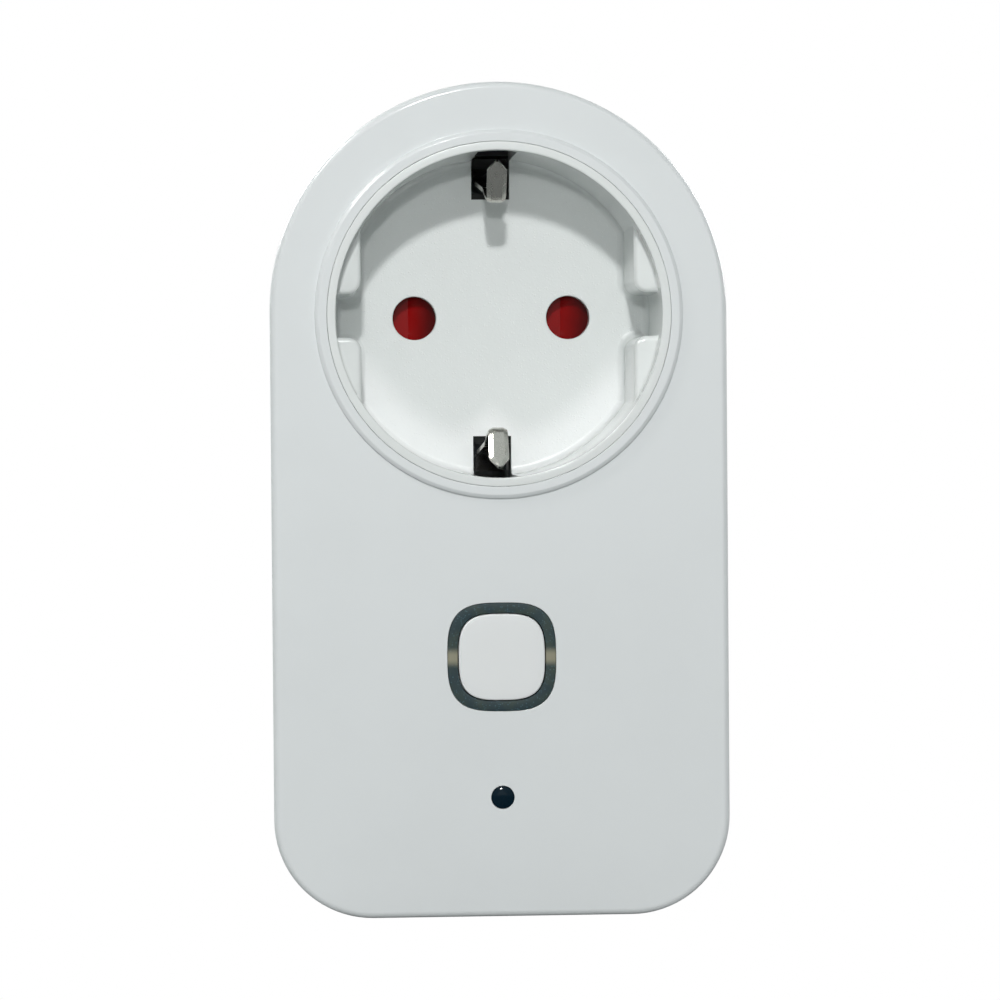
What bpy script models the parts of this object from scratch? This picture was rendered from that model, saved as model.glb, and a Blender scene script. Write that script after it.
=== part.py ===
"""Smart plug: a pass-through mains adapter with a switched, earthed outlet on its front.

The frame: +X is right and +Z is up as seen from the front, and +Y points into the wall.
The origin is the centre of the plug's end face, midway between its two pins.
"""

import math

import bmesh
import bpy
from mathutils import Vector

MM = 0.001

# Clearances
GAP = 0.3 * MM  # between pieces that rest on each other
FIT = 0.15 * MM  # all round a piece in its hole
PARTING_GAP = 0.2 * MM

# Case
CASE_WIDTH = 54.6 * MM
CASE_HEIGHT = 99.7 * MM
CASE_DEPTH = 36.0 * MM
REAR_DEPTH = 14.0 * MM
ARC_RISE = 0.4 * MM  # the round top's centre above the outlet's centre
CORNER_RADIUS = 11.8 * MM
EDGE_FILLET = 0.8 * MM
WALL = 2.0 * MM
FACE_THICKNESS = 2.2 * MM
BACK_THICKNESS = 2.2 * MM
LIP_INSET = 1.1 * MM
LIP_HEIGHT = 1.2 * MM

# Plug
PLUG_LENGTH = 17.0 * MM
PLUG_RADIUS = 18.3 * MM
PLUG_BORE_RADIUS = 13.8 * MM
PLUG_FACE_THICKNESS = 2.2 * MM
PLUG_EDGE = 0.9 * MM
SIDE_FLAT_X = 16.0 * MM
SIDE_RIB_HALF = 2.3 * MM
PIN_SPACING = 19.0 * MM
PIN_DIAMETER = 4.8 * MM
PIN_LENGTH = 19.0 * MM
PIN_FLANGE_RADIUS = 3.5 * MM
PIN_FLANGE_DEPTH = 2.4 * MM
PIN_TAIL_RADIUS = 1.8 * MM
PIN_TAIL_LENGTH = 5.6 * MM
EARTH_HOLE_RADIUS = 2.45 * MM
EARTH_HOLE_RISE = 10.0 * MM
SLEEVE_WALL = 0.4 * MM
SLEEVE_LENGTH = 14.8 * MM
STRIP_WIDTH = 4.4 * MM
STRIP_THICKNESS = 0.8 * MM
STRIP_FACE_Z = 16.4 * MM
RETAINER_THICKNESS = 2.0 * MM
RETAINER_POST_RADIUS = 2.4 * MM
RETAINER_SCREW_PLACE = (7.2 * MM, 7.8 * MM)

# Outlet
COLLAR_RISE = 0.7 * MM
COLLAR_WIDTH = 1.35 * MM
RECESS_RADIUS = 19.5 * MM
RECESS_DEPTH = 17.5 * MM
RIM_WIDTH = 0.9 * MM
BOWL_WALL = 1.8 * MM
FLOOR_THICKNESS = 2.0 * MM
FLOOR_FILLET = 1.0 * MM
FLANGE_WIDTH = 3.1 * MM
FLANGE_THICKNESS = 2.0 * MM
PIN_HOLE_DIAMETER = 5.35 * MM
GUIDE_INSET = 3.1 * MM
GUIDE_DROP = 3.2 * MM
NOTCH_HALF = 2.6 * MM
GUIDE_CORNER = 1.6 * MM
EARTH_SLOT_HALF = 2.35 * MM
EARTH_SLOT_INSET = 4.9 * MM
EARTH_SLOT_DROP = 1.5 * MM

# Earth clips
CLIP_THICKNESS = 0.6 * MM
CLIP_WIDTH = 2.3 * MM
CLIP_ROOT_WIDTH = 3.8 * MM
CLIP_TIP_INSET = 1.2 * MM
CLIP_BEND_INSET = 5.75 * MM
CLIP_ROOT_INSET = 0.7 * MM
CLIP_HINGE_SETBACK = 6.3 * MM  # from the back wall to the line where the clip bends
TIP_RELIEF_HALF = 1.5 * MM  # the pocket behind the collar that a clip's tip swings into
TIP_RELIEF_DEPTH = 1.7 * MM

# Shutter and contacts
SHUTTER_TRAVEL = 5.8 * MM
SHUTTER_THICKNESS = 2.3 * MM
SHUTTER_HALF_HEIGHT = 4.3 * MM
SHUTTER_WINDOW_RADIUS = 2.9 * MM
SHUTTER_END = 3.2 * MM
RAMP_DEPTH = 1.1 * MM
RAMP_START = 0.37  # share of the pin hole's width
SPRING_RADIUS = 1.3 * MM
SPRING_WIRE_RADIUS = 0.22 * MM
SPRING_LENGTH = 15.0 * MM
SPRING_TURNS = 7
CARRIER_RADIUS = 20.8 * MM
CARRIER_THICKNESS = 4.9 * MM
TOWER_SETBACK = 2.3 * MM  # from the back wall to the towers' ends
TOWER_WALL = 1.25 * MM
CONTACT_WALL = 0.75 * MM
CONTACT_LENGTH = 12.9 * MM
CONTACT_SLIT = 0.7 * MM
ARM_THICKNESS = 1.4 * MM
ARM_HALF_WIDTH = 4.2 * MM
BAR_WIDTH = 5.0 * MM
BAR_THICKNESS = 0.8 * MM

# Button, light ring and lens
BUTTON_DROP = 40.9 * MM
RING_HALF = 6.57 * MM
RING_WALL = 1.22 * MM
RING_FLANGE = 1.0 * MM
RING_SINK = 0.05 * MM
CAP_GAP = 0.18 * MM
CAP_FLANGE = 0.48 * MM
CAP_PROUD = 0.15 * MM
CAP_ROUND = 0.45 * MM
KEY_TRAVEL = 0.5 * MM
PRESS_FLANGE = 0.8 * MM
SQUIRCLE_POWER = 3.2
LENS_DROP = 57.7 * MM
LENS_RADIUS = 1.41 * MM
LENS_SINK = 0.1 * MM

# Circuit boards
BOARD_THICKNESS = 1.6 * MM
CONTROL_THICKNESS = 1.2 * MM
CONTROL_SETBACK = 9.5 * MM  # from the case's face to the board's front
CONTROL_HALF_WIDTH = 14.0 * MM
CONTROL_TOP_DROP = 31.0 * MM
CONTROL_BOTTOM_RISE = 6.0 * MM
POWER_SETBACK = 4.9 * MM  # from the case's back to the board's back
POWER_TOP_DROP = 25.0 * MM
SWITCH_SIZE = 6.0 * MM
SWITCH_HEIGHT = 3.2 * MM
SWITCH_WELL_DEPTH = 2.2 * MM
LED_SIZE = (1.6 * MM, 1.0 * MM, 0.8 * MM)

# Wires
WIRE_RADIUS = 1.0 * MM

# Screws
SCREW_POST_RADIUS = 2.8 * MM
SCREW_TOWER_RADIUS = 3.6 * MM
SCREW_SHANK_RADIUS = 1.25 * MM
SCREW_HEAD_RADIUS = 2.6 * MM
SCREW_HEAD_HEIGHT = 1.8 * MM
SCREW_SEAT = 3.5 * MM  # from the parting line to the counterbore's floor
UPPER_SCREW_INSET = 5.5 * MM
UPPER_SCREW_DROP = 20.0 * MM
LOWER_SCREW_INSET = 7.8 * MM
LOWER_SCREW_RISE = 8.0 * MM
SMALL_SCREW_RADIUS = 0.8 * MM
SMALL_HEAD_RADIUS = 1.8 * MM
SMALL_HEAD_HEIGHT = 1.1 * MM

# Facets
CASE_STEPS = 26
CORNER_STEPS = 4
ROUND = 48
MEDIUM = 20
SMALL = 12

# Places that follow from the sizes above
CASE_TOP_Z = ARC_RISE + CASE_WIDTH / 2
CASE_BOTTOM_Z = CASE_TOP_Z - CASE_HEIGHT
BACK_Y = -PLUG_LENGTH
FRONT_Y = BACK_Y - CASE_DEPTH
PARTING_Y = BACK_Y - REAR_DEPTH
FACE_INNER_Y = FRONT_Y + FACE_THICKNESS
BACK_INNER_Y = BACK_Y - BACK_THICKNESS
INNER_HALF_X = CASE_WIDTH / 2 - WALL
RIM_Y = FRONT_Y - COLLAR_RISE
RIM_RADIUS = RECESS_RADIUS + RIM_WIDTH
COLLAR_BORE_RADIUS = RIM_RADIUS + PARTING_GAP
COLLAR_RADIUS = COLLAR_BORE_RADIUS + COLLAR_WIDTH
FLOOR_Y = RIM_Y + RECESS_DEPTH
FLOOR_BACK_Y = FLOOR_Y + FLOOR_THICKNESS
BOWL_RADIUS = RECESS_RADIUS + BOWL_WALL
FLANGE_FRONT_Y = FACE_INNER_Y + GAP
FLANGE_BACK_Y = FLANGE_FRONT_Y + FLANGE_THICKNESS
FLANGE_RADIUS = RIM_RADIUS + FLANGE_WIDTH
EARTH_SLOT_Z = RECESS_RADIUS - EARTH_SLOT_INSET
GUIDE_X = RECESS_RADIUS - GUIDE_INSET
PIN_X = PIN_SPACING / 2
PIN_RADIUS = PIN_DIAMETER / 2
PIN_HOLE_RADIUS = PIN_HOLE_DIAMETER / 2
CARRIER_FRONT_Y = FLOOR_BACK_Y + GAP
CARRIER_BACK_Y = CARRIER_FRONT_Y + CARRIER_THICKNESS
CHANNEL_Y = CARRIER_FRONT_Y + SHUTTER_THICKNESS + GAP
CONTACT_RADIUS = PIN_RADIUS + 0.05 * MM
CONTACT_OUTER_RADIUS = CONTACT_RADIUS + CONTACT_WALL
CONTACT_FRONT_Y = CHANNEL_Y + 0.8 * MM
CONTACT_BACK_Y = CONTACT_FRONT_Y + CONTACT_LENGTH
TOWER_RADIUS = CONTACT_OUTER_RADIUS + FIT + TOWER_WALL
TOWER_BACK_Y = BACK_INNER_Y - TOWER_SETBACK
ARM_Z = BOWL_RADIUS + 0.7 * MM
HINGE_Y = BACK_INNER_Y - CLIP_HINGE_SETBACK
HINGE_Z = RECESS_RADIUS - CLIP_ROOT_INSET
CLIP_END_Y = HINGE_Y + 1.7 * MM
BAR_FRONT_Y = CLIP_END_Y + GAP
BAR_BACK_Y = BAR_FRONT_Y + BAR_THICKNESS
STRIP_END_Y = BAR_BACK_Y + GAP
PIN_FLANGE_Y = -PLUG_FACE_THICKNESS - GAP
RETAINER_Y = PIN_FLANGE_Y - PIN_FLANGE_DEPTH - GAP
RETAINER_BACK_Y = RETAINER_Y - RETAINER_THICKNESS
LIVE_TAIL_Y = PIN_FLANGE_Y - PIN_FLANGE_DEPTH - PIN_TAIL_LENGTH
SLEEVE_RADIUS = EARTH_HOLE_RADIUS + SLEEVE_WALL
BUTTON_Z = -BUTTON_DROP
LENS_Z = -LENS_DROP
RING_FRONT_Y = FRONT_Y + RING_SINK
RING_BORE_HALF = RING_HALF - RING_WALL
RING_FLANGE_Y = FACE_INNER_Y + GAP
RING_BACK_Y = RING_FLANGE_Y + PRESS_FLANGE
CAP_HALF = RING_BORE_HALF - CAP_GAP
CAP_FRONT_Y = FRONT_Y - CAP_PROUD
CAP_FLANGE_Y = RING_BACK_Y + GAP
CAP_FLANGE_HALF = CAP_HALF + CAP_FLANGE
CAP_STEM_Y = CAP_FLANGE_Y + PRESS_FLANGE + 0.6 * MM
CONTROL_Y = FRONT_Y + CONTROL_SETBACK
CONTROL_BACK_Y = CONTROL_Y + CONTROL_THICKNESS
CONTROL_TOP_Z = -CONTROL_TOP_DROP
CONTROL_BOTTOM_Z = CASE_BOTTOM_Z + CONTROL_BOTTOM_RISE
SWITCH_BACK_Y = CONTROL_Y - GAP
SWITCH_FRONT_Y = SWITCH_BACK_Y - SWITCH_HEIGHT
POWER_BACK_Y = BACK_Y - POWER_SETBACK
POWER_Y = POWER_BACK_Y - BOARD_THICKNESS
POWER_TOP_Z = -POWER_TOP_DROP
POWER_HALF_WIDTH = INNER_HALF_X - 2.1 * MM
WIRE_LANE_Y = BACK_INNER_Y - GAP - WIRE_RADIUS
COMPONENT_Y = POWER_Y - GAP
UPPER_SCREW_X = CASE_WIDTH / 2 - UPPER_SCREW_INSET
LOWER_SCREW_X = CASE_WIDTH / 2 - LOWER_SCREW_INSET
UPPER_SCREW_Z = -UPPER_SCREW_DROP
LOWER_SCREW_Z = CASE_BOTTOM_Z + LOWER_SCREW_RISE
SCREW_SEAT_Y = PARTING_Y + SCREW_SEAT
SHOULDER_Z = LOWER_SCREW_Z + SCREW_TOWER_RADIUS + 2 * GAP
SCREW_PLACES = [
    (-UPPER_SCREW_X, UPPER_SCREW_Z),
    (UPPER_SCREW_X, UPPER_SCREW_Z),
    (-LOWER_SCREW_X, LOWER_SCREW_Z),
    (LOWER_SCREW_X, LOWER_SCREW_Z),
]
CONTROL_SCREW_PLACES = [
    (-CONTROL_HALF_WIDTH + 3 * MM, CONTROL_TOP_Z - 3 * MM),
    (CONTROL_HALF_WIDTH - 3 * MM, CONTROL_BOTTOM_Z + 3 * MM),
]
POWER_SCREW_PLACES = [
    (0.0, POWER_TOP_Z - 3.3 * MM),
    (0.0, CASE_BOTTOM_Z + 6.2 * MM),
]


# Materials


def material(name, colour, roughness, metallic=0.0, alpha=1.0):
    made = bpy.data.materials.new(name)
    made.use_nodes = True
    shader = made.node_tree.nodes["Principled BSDF"]
    shader.inputs["Base Color"].default_value = (*colour, 1.0)
    shader.inputs["Roughness"].default_value = roughness
    shader.inputs["Metallic"].default_value = metallic
    shader.inputs["Alpha"].default_value = alpha
    made.diffuse_color = (*colour, alpha)
    return made


def make_materials():
    return {
        "case": material("white_case_plastic", (0.78, 0.79, 0.79), 0.42),
        "insert": material("white_outlet_plastic", (0.80, 0.81, 0.81), 0.34),
        "button": material("white_button_plastic", (0.80, 0.81, 0.81), 0.38),
        "ring": material("smoked_light_ring", (0.06, 0.08, 0.09), 0.25),
        "lens": material("smoked_lens", (0.01, 0.02, 0.03), 0.08),
        "guide": material("light_guide_plastic", (0.82, 0.84, 0.84), 0.3),
        "shutter": material("red_shutter_plastic", (0.42, 0.02, 0.02), 0.3),
        "carrier": material("black_carrier_plastic", (0.02, 0.02, 0.022), 0.45),
        "nickel": material("nickel_plate", (0.72, 0.70, 0.66), 0.22, 1.0),
        "spring": material("spring_steel", (0.6, 0.6, 0.6), 0.3, 1.0),
        "brass": material("brass", (0.78, 0.60, 0.30), 0.3, 1.0),
        "screw": material("zinc_screw", (0.62, 0.62, 0.60), 0.35, 1.0),
        "board": material("green_board", (0.02, 0.16, 0.07), 0.4),
        "part_black": material("black_component", (0.03, 0.03, 0.03), 0.4),
        "part_blue": material("blue_component", (0.05, 0.16, 0.45), 0.35),
        "part_yellow": material("yellow_component", (0.80, 0.62, 0.10), 0.4),
        "part_white": material("white_component", (0.75, 0.75, 0.72), 0.4),
        "ferrite": material("ferrite", (0.06, 0.06, 0.065), 0.6),
        "copper": material("enamelled_copper", (0.55, 0.22, 0.08), 0.35, 0.6),
        "can": material("tinned_can", (0.70, 0.71, 0.72), 0.3, 1.0),
        "led": material("led_body", (0.85, 0.82, 0.62), 0.3),
        "wire_live": material("brown_insulation", (0.16, 0.07, 0.03), 0.45),
        "wire_neutral": material("blue_insulation", (0.03, 0.12, 0.42), 0.45),
    }


# Outlines in the XZ plane, as functions from a size to its points


def circle_at(x, z, count=MEDIUM):
    def outline(radius):
        angles = [2 * math.pi * i / count for i in range(count)]
        return [(x + radius * math.cos(a), z + radius * math.sin(a)) for a in angles]

    return outline


def squircle_at(x, z, count=32):
    def outline(half):
        points = []
        for i in range(count):
            angle = 2 * math.pi * i / count
            stretch = abs(math.cos(angle)) ** SQUIRCLE_POWER + abs(math.sin(angle)) ** SQUIRCLE_POWER
            reach = half / stretch ** (1 / SQUIRCLE_POWER)
            points.append((x + reach * math.cos(angle), z + reach * math.sin(angle)))
        return points

    return outline


def arc(x, z, radius, start, end, steps):
    """Points from one angle to another, both in degrees and both included."""
    angles = [math.radians(start + (end - start) * i / steps) for i in range(steps + 1)]
    return [(x + radius * math.cos(a), z + radius * math.sin(a)) for a in angles]


def case_outline(inset):
    """The case's outline, drawn in by an inset: a round top and two rounded corners."""
    radius = CASE_WIDTH / 2 - inset
    corner = CORNER_RADIUS - inset
    corner_x = CASE_WIDTH / 2 - CORNER_RADIUS
    corner_z = CASE_BOTTOM_Z + CORNER_RADIUS
    top = arc(0, ARC_RISE, radius, 0, 180, CASE_STEPS)
    left = arc(-corner_x, corner_z, corner, 180, 270, CORNER_STEPS)
    right = arc(corner_x, corner_z, corner, 270, 360, CORNER_STEPS)
    return top + left + right


def rectangle(low_x, low_z, high_x, high_z):
    return [(low_x, low_z), (high_x, low_z), (high_x, high_z), (low_x, high_z)]


# Solids


def link(name, data, finish):
    made = bpy.data.objects.new(name, data)
    bpy.context.scene.collection.objects.link(made)
    if finish:
        data.materials.append(finish)
    return made


def mesh_object(name, faces_of, finish=None):
    """An object from a function that fills a bmesh."""
    shape = bmesh.new()
    faces_of(shape)
    bmesh.ops.recalc_face_normals(shape, faces=shape.faces)
    data = bpy.data.meshes.new(name)
    shape.to_mesh(data)
    shape.free()
    return link(name, data, finish)


def loft(name, rings, finish=None, closed=False):
    """A solid through rings of points. A closed one runs from its last ring back to its first."""

    def faces_of(shape):
        loops = [[shape.verts.new(point) for point in ring] for ring in rings]
        count = len(loops[0])
        following = loops[1:] + (loops[:1] if closed else [])
        for near, far in zip(loops, following):
            for i in range(count):
                j = (i + 1) % count
                shape.faces.new((near[i], near[j], far[j], far[i]))
        if not closed:
            shape.faces.new(loops[0])
            shape.faces.new(loops[-1])

    return mesh_object(name, faces_of, finish)


def stacked(name, profile, outline, finish=None, closed=False):
    """A solid whose cross-section at each y is the outline at a size: profile lists (size, y)."""
    rings = [[(x, y, z) for x, z in outline(size)] for size, y in profile]
    return loft(name, rings, finish, closed)


def prism(name, points, near_y, far_y, finish=None):
    return loft(name, [[(x, y, z) for x, z in points] for y in (near_y, far_y)], finish)


def prism_along_z(name, points, low_z, high_z, finish=None):
    """A prism whose points are (x, y)."""
    return loft(name, [[(x, y, z) for x, y in points] for z in (low_z, high_z)], finish)


def prism_along_x(name, points, low_x, high_x, finish=None):
    """A prism whose points are (y, z)."""
    return loft(name, [[(x, y, z) for y, z in points] for x in (low_x, high_x)], finish)


def box(name, low, high, finish=None, bevel=0.0):
    made = prism(name, rectangle(low[0], low[2], high[0], high[2]), low[1], high[1], finish)
    if bevel:
        rounding = made.modifiers.new("edges", "BEVEL")
        rounding.width = bevel
        rounding.segments = 1
    return made


def cylinder(name, x, z, radius, near_y, far_y, finish=None, count=MEDIUM):
    return stacked(name, [(radius, near_y), (radius, far_y)], circle_at(x, z, count), finish)


def strip(name, path, widths, thickness, finish):
    """Sheet metal bent along a path of (y, z), with its width across X at each point."""
    rings = []
    for i, (y, z) in enumerate(path):
        here = Vector((y, z))
        before = Vector(path[i - 1]) if i else None
        after = Vector(path[i + 1]) if i + 1 < len(path) else None
        into = (here - before).normalized() if before else (after - here).normalized()
        out = (after - here).normalized() if after else into
        mean = (into + out).normalized()
        side = Vector((-mean.y, mean.x)) * (thickness / 2 / mean.dot(into))
        half = widths[i] / 2
        first, second = here - side, here + side
        corners = [(-half, first), (half, first), (half, second), (-half, second)]
        rings.append([(x, point.x, point.y) for x, point in corners])
    return loft(name, rings, finish)


def wire(name, points, radius, finish, resolution=1):
    """A round wire along a list of points."""
    data = bpy.data.curves.new(name, "CURVE")
    data.dimensions = "3D"
    data.bevel_depth = radius
    data.bevel_resolution = resolution
    data.use_fill_caps = True
    spline = data.splines.new("POLY")
    spline.points.add(len(points) - 1)
    for place, point in zip(spline.points, points):
        place.co = (*point, 1.0)
    return link(name, data, finish)


def smooth_route(places, steps=4):
    """A smooth curve through the places, as Catmull-Rom points."""
    ends = [places[0], *places, places[-1]]
    route = []
    for before, start, end, after in zip(ends, ends[1:], ends[2:], ends[3:]):
        before, start, end, after = map(Vector, (before, start, end, after))
        for i in range(steps):
            t = i / steps
            bend = 2 * start + (end - before) * t
            bend += (2 * before - 5 * start + 4 * end - after) * t**2
            bend += (3 * start - before - 3 * end + after) * t**3
            route.append(bend / 2)
    return route + [Vector(places[-1])]


def apply_booleans(target, operation, tools):
    for tool in tools:
        joined = target.modifiers.new(operation.lower(), "BOOLEAN")
        joined.operation = operation
        joined.solver = "EXACT"
        joined.object = tool
    graph = bpy.context.evaluated_depsgraph_get()
    result = bpy.data.meshes.new_from_object(target.evaluated_get(graph))
    result.name = target.name
    target.modifiers.clear()
    target.data = result
    for tool in tools:
        bpy.data.objects.remove(tool)
    return target


def join(target, *tools):
    return apply_booleans(target, "UNION", tools)


def cut(target, *tools):
    return apply_booleans(target, "DIFFERENCE", tools)


def place_origin(made, x, y, z):
    """Moves the object's origin to a joint's axis, and leaves its shape where it is."""
    offset = Vector((x, y, z))
    for vertex in made.data.vertices:
        vertex.co -= offset
    made.location = offset
    return made


def fillet_profile(flat_y, direction, steps=3):
    """(inset, y) pairs that round a case edge. Direction is from the flat face into the case."""
    points = []
    for i in range(steps + 1):
        angle = math.radians(90 * i / steps)
        inset = EDGE_FILLET * (1 - math.cos(angle))
        points.append((inset, flat_y + direction * EDGE_FILLET * (1 - math.sin(angle))))
    return points


# Case


def tip_reliefs():
    """Cutters for the two pockets that the earth clips' tips swing into when a plug goes in."""
    near_y = RIM_Y + 1.4 * MM
    reliefs = []
    for side in (-1, 1):
        reach = (COLLAR_BORE_RADIUS - MM, COLLAR_BORE_RADIUS + TIP_RELIEF_DEPTH)
        low_z, high_z = sorted((side * reach[0], side * reach[1]))
        low = (-TIP_RELIEF_HALF, near_y, low_z)
        reliefs.append(box("tip_relief", low, (TIP_RELIEF_HALF, FACE_INNER_Y + MM, high_z)))
    return reliefs


def front_cover(finish):
    profile = [(0.0, PARTING_Y - PARTING_GAP / 2), *fillet_profile(FRONT_Y, 1)]
    cover = stacked("front_cover", profile, case_outline, finish)
    collar_profile = [
        (COLLAR_RADIUS, FRONT_Y + FACE_THICKNESS / 2),
        (COLLAR_RADIUS, RIM_Y + COLLAR_RISE * 0.7),
        (COLLAR_RADIUS - COLLAR_RISE * 0.25, RIM_Y + COLLAR_RISE * 0.25),
        (COLLAR_RADIUS - COLLAR_RISE * 0.7, RIM_Y),
    ]
    join(cover, stacked("collar", collar_profile, circle_at(0, 0, ROUND)))
    rebate_y = PARTING_Y - LIP_HEIGHT - GAP
    past_y = PARTING_Y + WALL
    through = FRONT_Y - 2 * COLLAR_RISE
    cut(
        cover,
        prism("cavity", case_outline(WALL), FACE_INNER_Y, past_y),
        prism("rebate", case_outline(LIP_INSET - FIT), rebate_y, past_y),
        cylinder("outlet_hole", 0, 0, COLLAR_BORE_RADIUS, through, FACE_INNER_Y + WALL, count=ROUND),
        prism("ring_hole", squircle_at(0, BUTTON_Z)(RING_HALF + FIT), through, FACE_INNER_Y + WALL),
        cylinder("lens_hole", 0, LENS_Z, LENS_RADIUS + FIT, through, FACE_INNER_Y + WALL),
    )
    root_y = FRONT_Y + FACE_THICKNESS / 2
    end_y = PARTING_Y - PARTING_GAP
    posts = [
        cylinder("post", x, z, SCREW_POST_RADIUS, root_y, end_y, count=SMALL) for x, z in SCREW_PLACES
    ]
    board_posts = [
        cylinder("post", x, z, SMALL_HEAD_RADIUS + 0.4 * MM, root_y, CONTROL_Y - GAP, count=SMALL)
        for x, z in CONTROL_SCREW_PLACES
    ]
    join(cover, *posts, *board_posts)
    cut(cover, *tip_reliefs())
    pilot = SCREW_SHANK_RADIUS + FIT
    pilots = [
        cylinder("pilot", x, z, pilot, end_y - 9 * MM, past_y, count=SMALL) for x, z in SCREW_PLACES
    ]
    small = SMALL_SCREW_RADIUS + FIT
    board_pilots = [
        cylinder("pilot", x, z, small, CONTROL_Y - 6 * MM, CONTROL_Y + MM, count=SMALL)
        for x, z in CONTROL_SCREW_PLACES
    ]
    return cut(cover, *pilots, *board_pilots)


def side_flats():
    """Cutters for the flats beside the plug's two guide ribs."""
    end_y = BACK_Y + 0.4 * MM
    reach = PLUG_RADIUS + MM
    flats = []
    for side in (-1, 1):
        low_x, high_x = sorted((side * SIDE_FLAT_X, side * reach))
        flats.append(box("flat", (low_x, end_y, SIDE_RIB_HALF), (high_x, MM, reach)))
        flats.append(box("flat", (low_x, end_y, -reach), (high_x, MM, -SIDE_RIB_HALF)))
    return flats


def earth_grooves():
    """Cutters for the grooves that hold the plug's earth strips, and the slots at their ends."""
    groove_half = STRIP_WIDTH / 2 + 0.7 * MM
    slot_half = STRIP_WIDTH / 2 + FIT
    bottom_z = STRIP_FACE_Z - STRIP_THICKNESS - FIT
    leg_y = BACK_Y + 0.4 * MM
    cutters = []
    for side in (-1, 1):
        low_z, high_z = sorted((side * bottom_z, side * (PLUG_RADIUS + MM)))
        cutters.append(box("groove", (-groove_half, leg_y, low_z), (groove_half, MM, high_z)))
        low_z, high_z = sorted((side * (PLUG_BORE_RADIUS - MM), side * (bottom_z + MM)))
        slot_top_y = leg_y + STRIP_THICKNESS + 3 * FIT
        cutters.append(box("slot", (-slot_half, leg_y, low_z), (slot_half, slot_top_y, high_z)))
    return cutters


def retainer_places():
    x, z = RETAINER_SCREW_PLACE
    return [(-x, z), (x, -z)]


def rear_housing(finish):
    profile = [(0.0, PARTING_Y + PARTING_GAP / 2), *[(inset, y) for inset, y in fillet_profile(BACK_Y, -1)]]
    housing = stacked("rear_housing", profile, case_outline, finish)
    plug_profile = [
        (PLUG_RADIUS, BACK_INNER_Y + BACK_THICKNESS / 2),
        (PLUG_RADIUS, -PLUG_EDGE),
        (PLUG_RADIUS - PLUG_EDGE, 0.0),
    ]
    join(
        housing,
        prism("lip", case_outline(LIP_INSET), PARTING_Y - LIP_HEIGHT, PARTING_Y + WALL),
        stacked("plug", plug_profile, circle_at(0, 0, ROUND)),
    )
    cut(
        housing,
        prism("cavity", case_outline(WALL), PARTING_Y - 2 * WALL, BACK_INNER_Y),
        cylinder("bore", 0, 0, PLUG_BORE_RADIUS, BACK_INNER_Y - WALL, -PLUG_FACE_THICKNESS, count=ROUND),
        *side_flats(),
        *earth_grooves(),
    )
    root_y = BACK_Y - BACK_THICKNESS / 2
    towers = [
        cylinder("tower", x, z, SCREW_TOWER_RADIUS, PARTING_Y + PARTING_GAP / 2, root_y, count=MEDIUM)
        for x, z in SCREW_PLACES
    ]
    board_posts = [
        cylinder("post", x, z, SMALL_HEAD_RADIUS + 0.6 * MM, POWER_BACK_Y + GAP, root_y, count=SMALL)
        for x, z in POWER_SCREW_PLACES
    ]
    face_y = -PLUG_FACE_THICKNESS / 2
    retainer_posts = [
        cylinder("post", x, z, RETAINER_POST_RADIUS, RETAINER_Y + GAP, face_y, count=SMALL)
        for x, z in retainer_places()
    ]
    rib_x = (PLUG_BORE_RADIUS + CARRIER_RADIUS) / 2
    ribs = [
        box("rib", (side * rib_x - MM, CARRIER_BACK_Y + GAP, -5 * MM), (side * rib_x + MM, root_y, 5 * MM))
        for side in (-1, 1)
    ]
    join(housing, *towers, *board_posts, *retainer_posts, *ribs)
    bores = []
    for x, z in SCREW_PLACES:
        head = SCREW_HEAD_RADIUS + 2 * FIT
        bores.append(cylinder("counterbore", x, z, head, SCREW_SEAT_Y, BACK_Y + MM, count=MEDIUM))
        shank = SCREW_SHANK_RADIUS + 2 * FIT
        bores.append(cylinder("clearance", x, z, shank, PARTING_Y - MM, SCREW_SEAT_Y + MM, count=SMALL))
    small = SMALL_SCREW_RADIUS + FIT
    for x, z in POWER_SCREW_PLACES:
        bores.append(cylinder("pilot", x, z, small, POWER_BACK_Y - MM, BACK_Y - MM / 2, count=SMALL))
    for x, z in retainer_places():
        bores.append(cylinder("pilot", x, z, small, RETAINER_BACK_Y, -MM, count=SMALL))
    for side in (-1, 1):
        bores.append(cylinder("pin_hole", side * PIN_X, 0, PIN_RADIUS + FIT, RETAINER_Y, MM))
    bores.append(cylinder("earth_hole", 0, EARTH_HOLE_RISE, SLEEVE_RADIUS + FIT, RETAINER_Y, MM))
    return cut(housing, *bores)


# Outlet


def guide_block(side, half):
    """One of the four blocks that guide the plug's flats, as wide as the recess's wall allows."""
    reach = RECESS_RADIUS + BOWL_WALL / 3
    start = math.degrees(math.asin(NOTCH_HALF / reach))
    end = math.degrees(math.acos(GUIDE_X / reach))
    corner = arc(GUIDE_X + GUIDE_CORNER, NOTCH_HALF + GUIDE_CORNER, GUIDE_CORNER, 180, 270, 4)
    points = corner + arc(0, 0, reach, start, end, 6)
    points = [(side * x, half * z) for x, z in points]
    return prism("guide", points, RIM_Y + GUIDE_DROP, FLOOR_Y + FLOOR_THICKNESS / 3)


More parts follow.
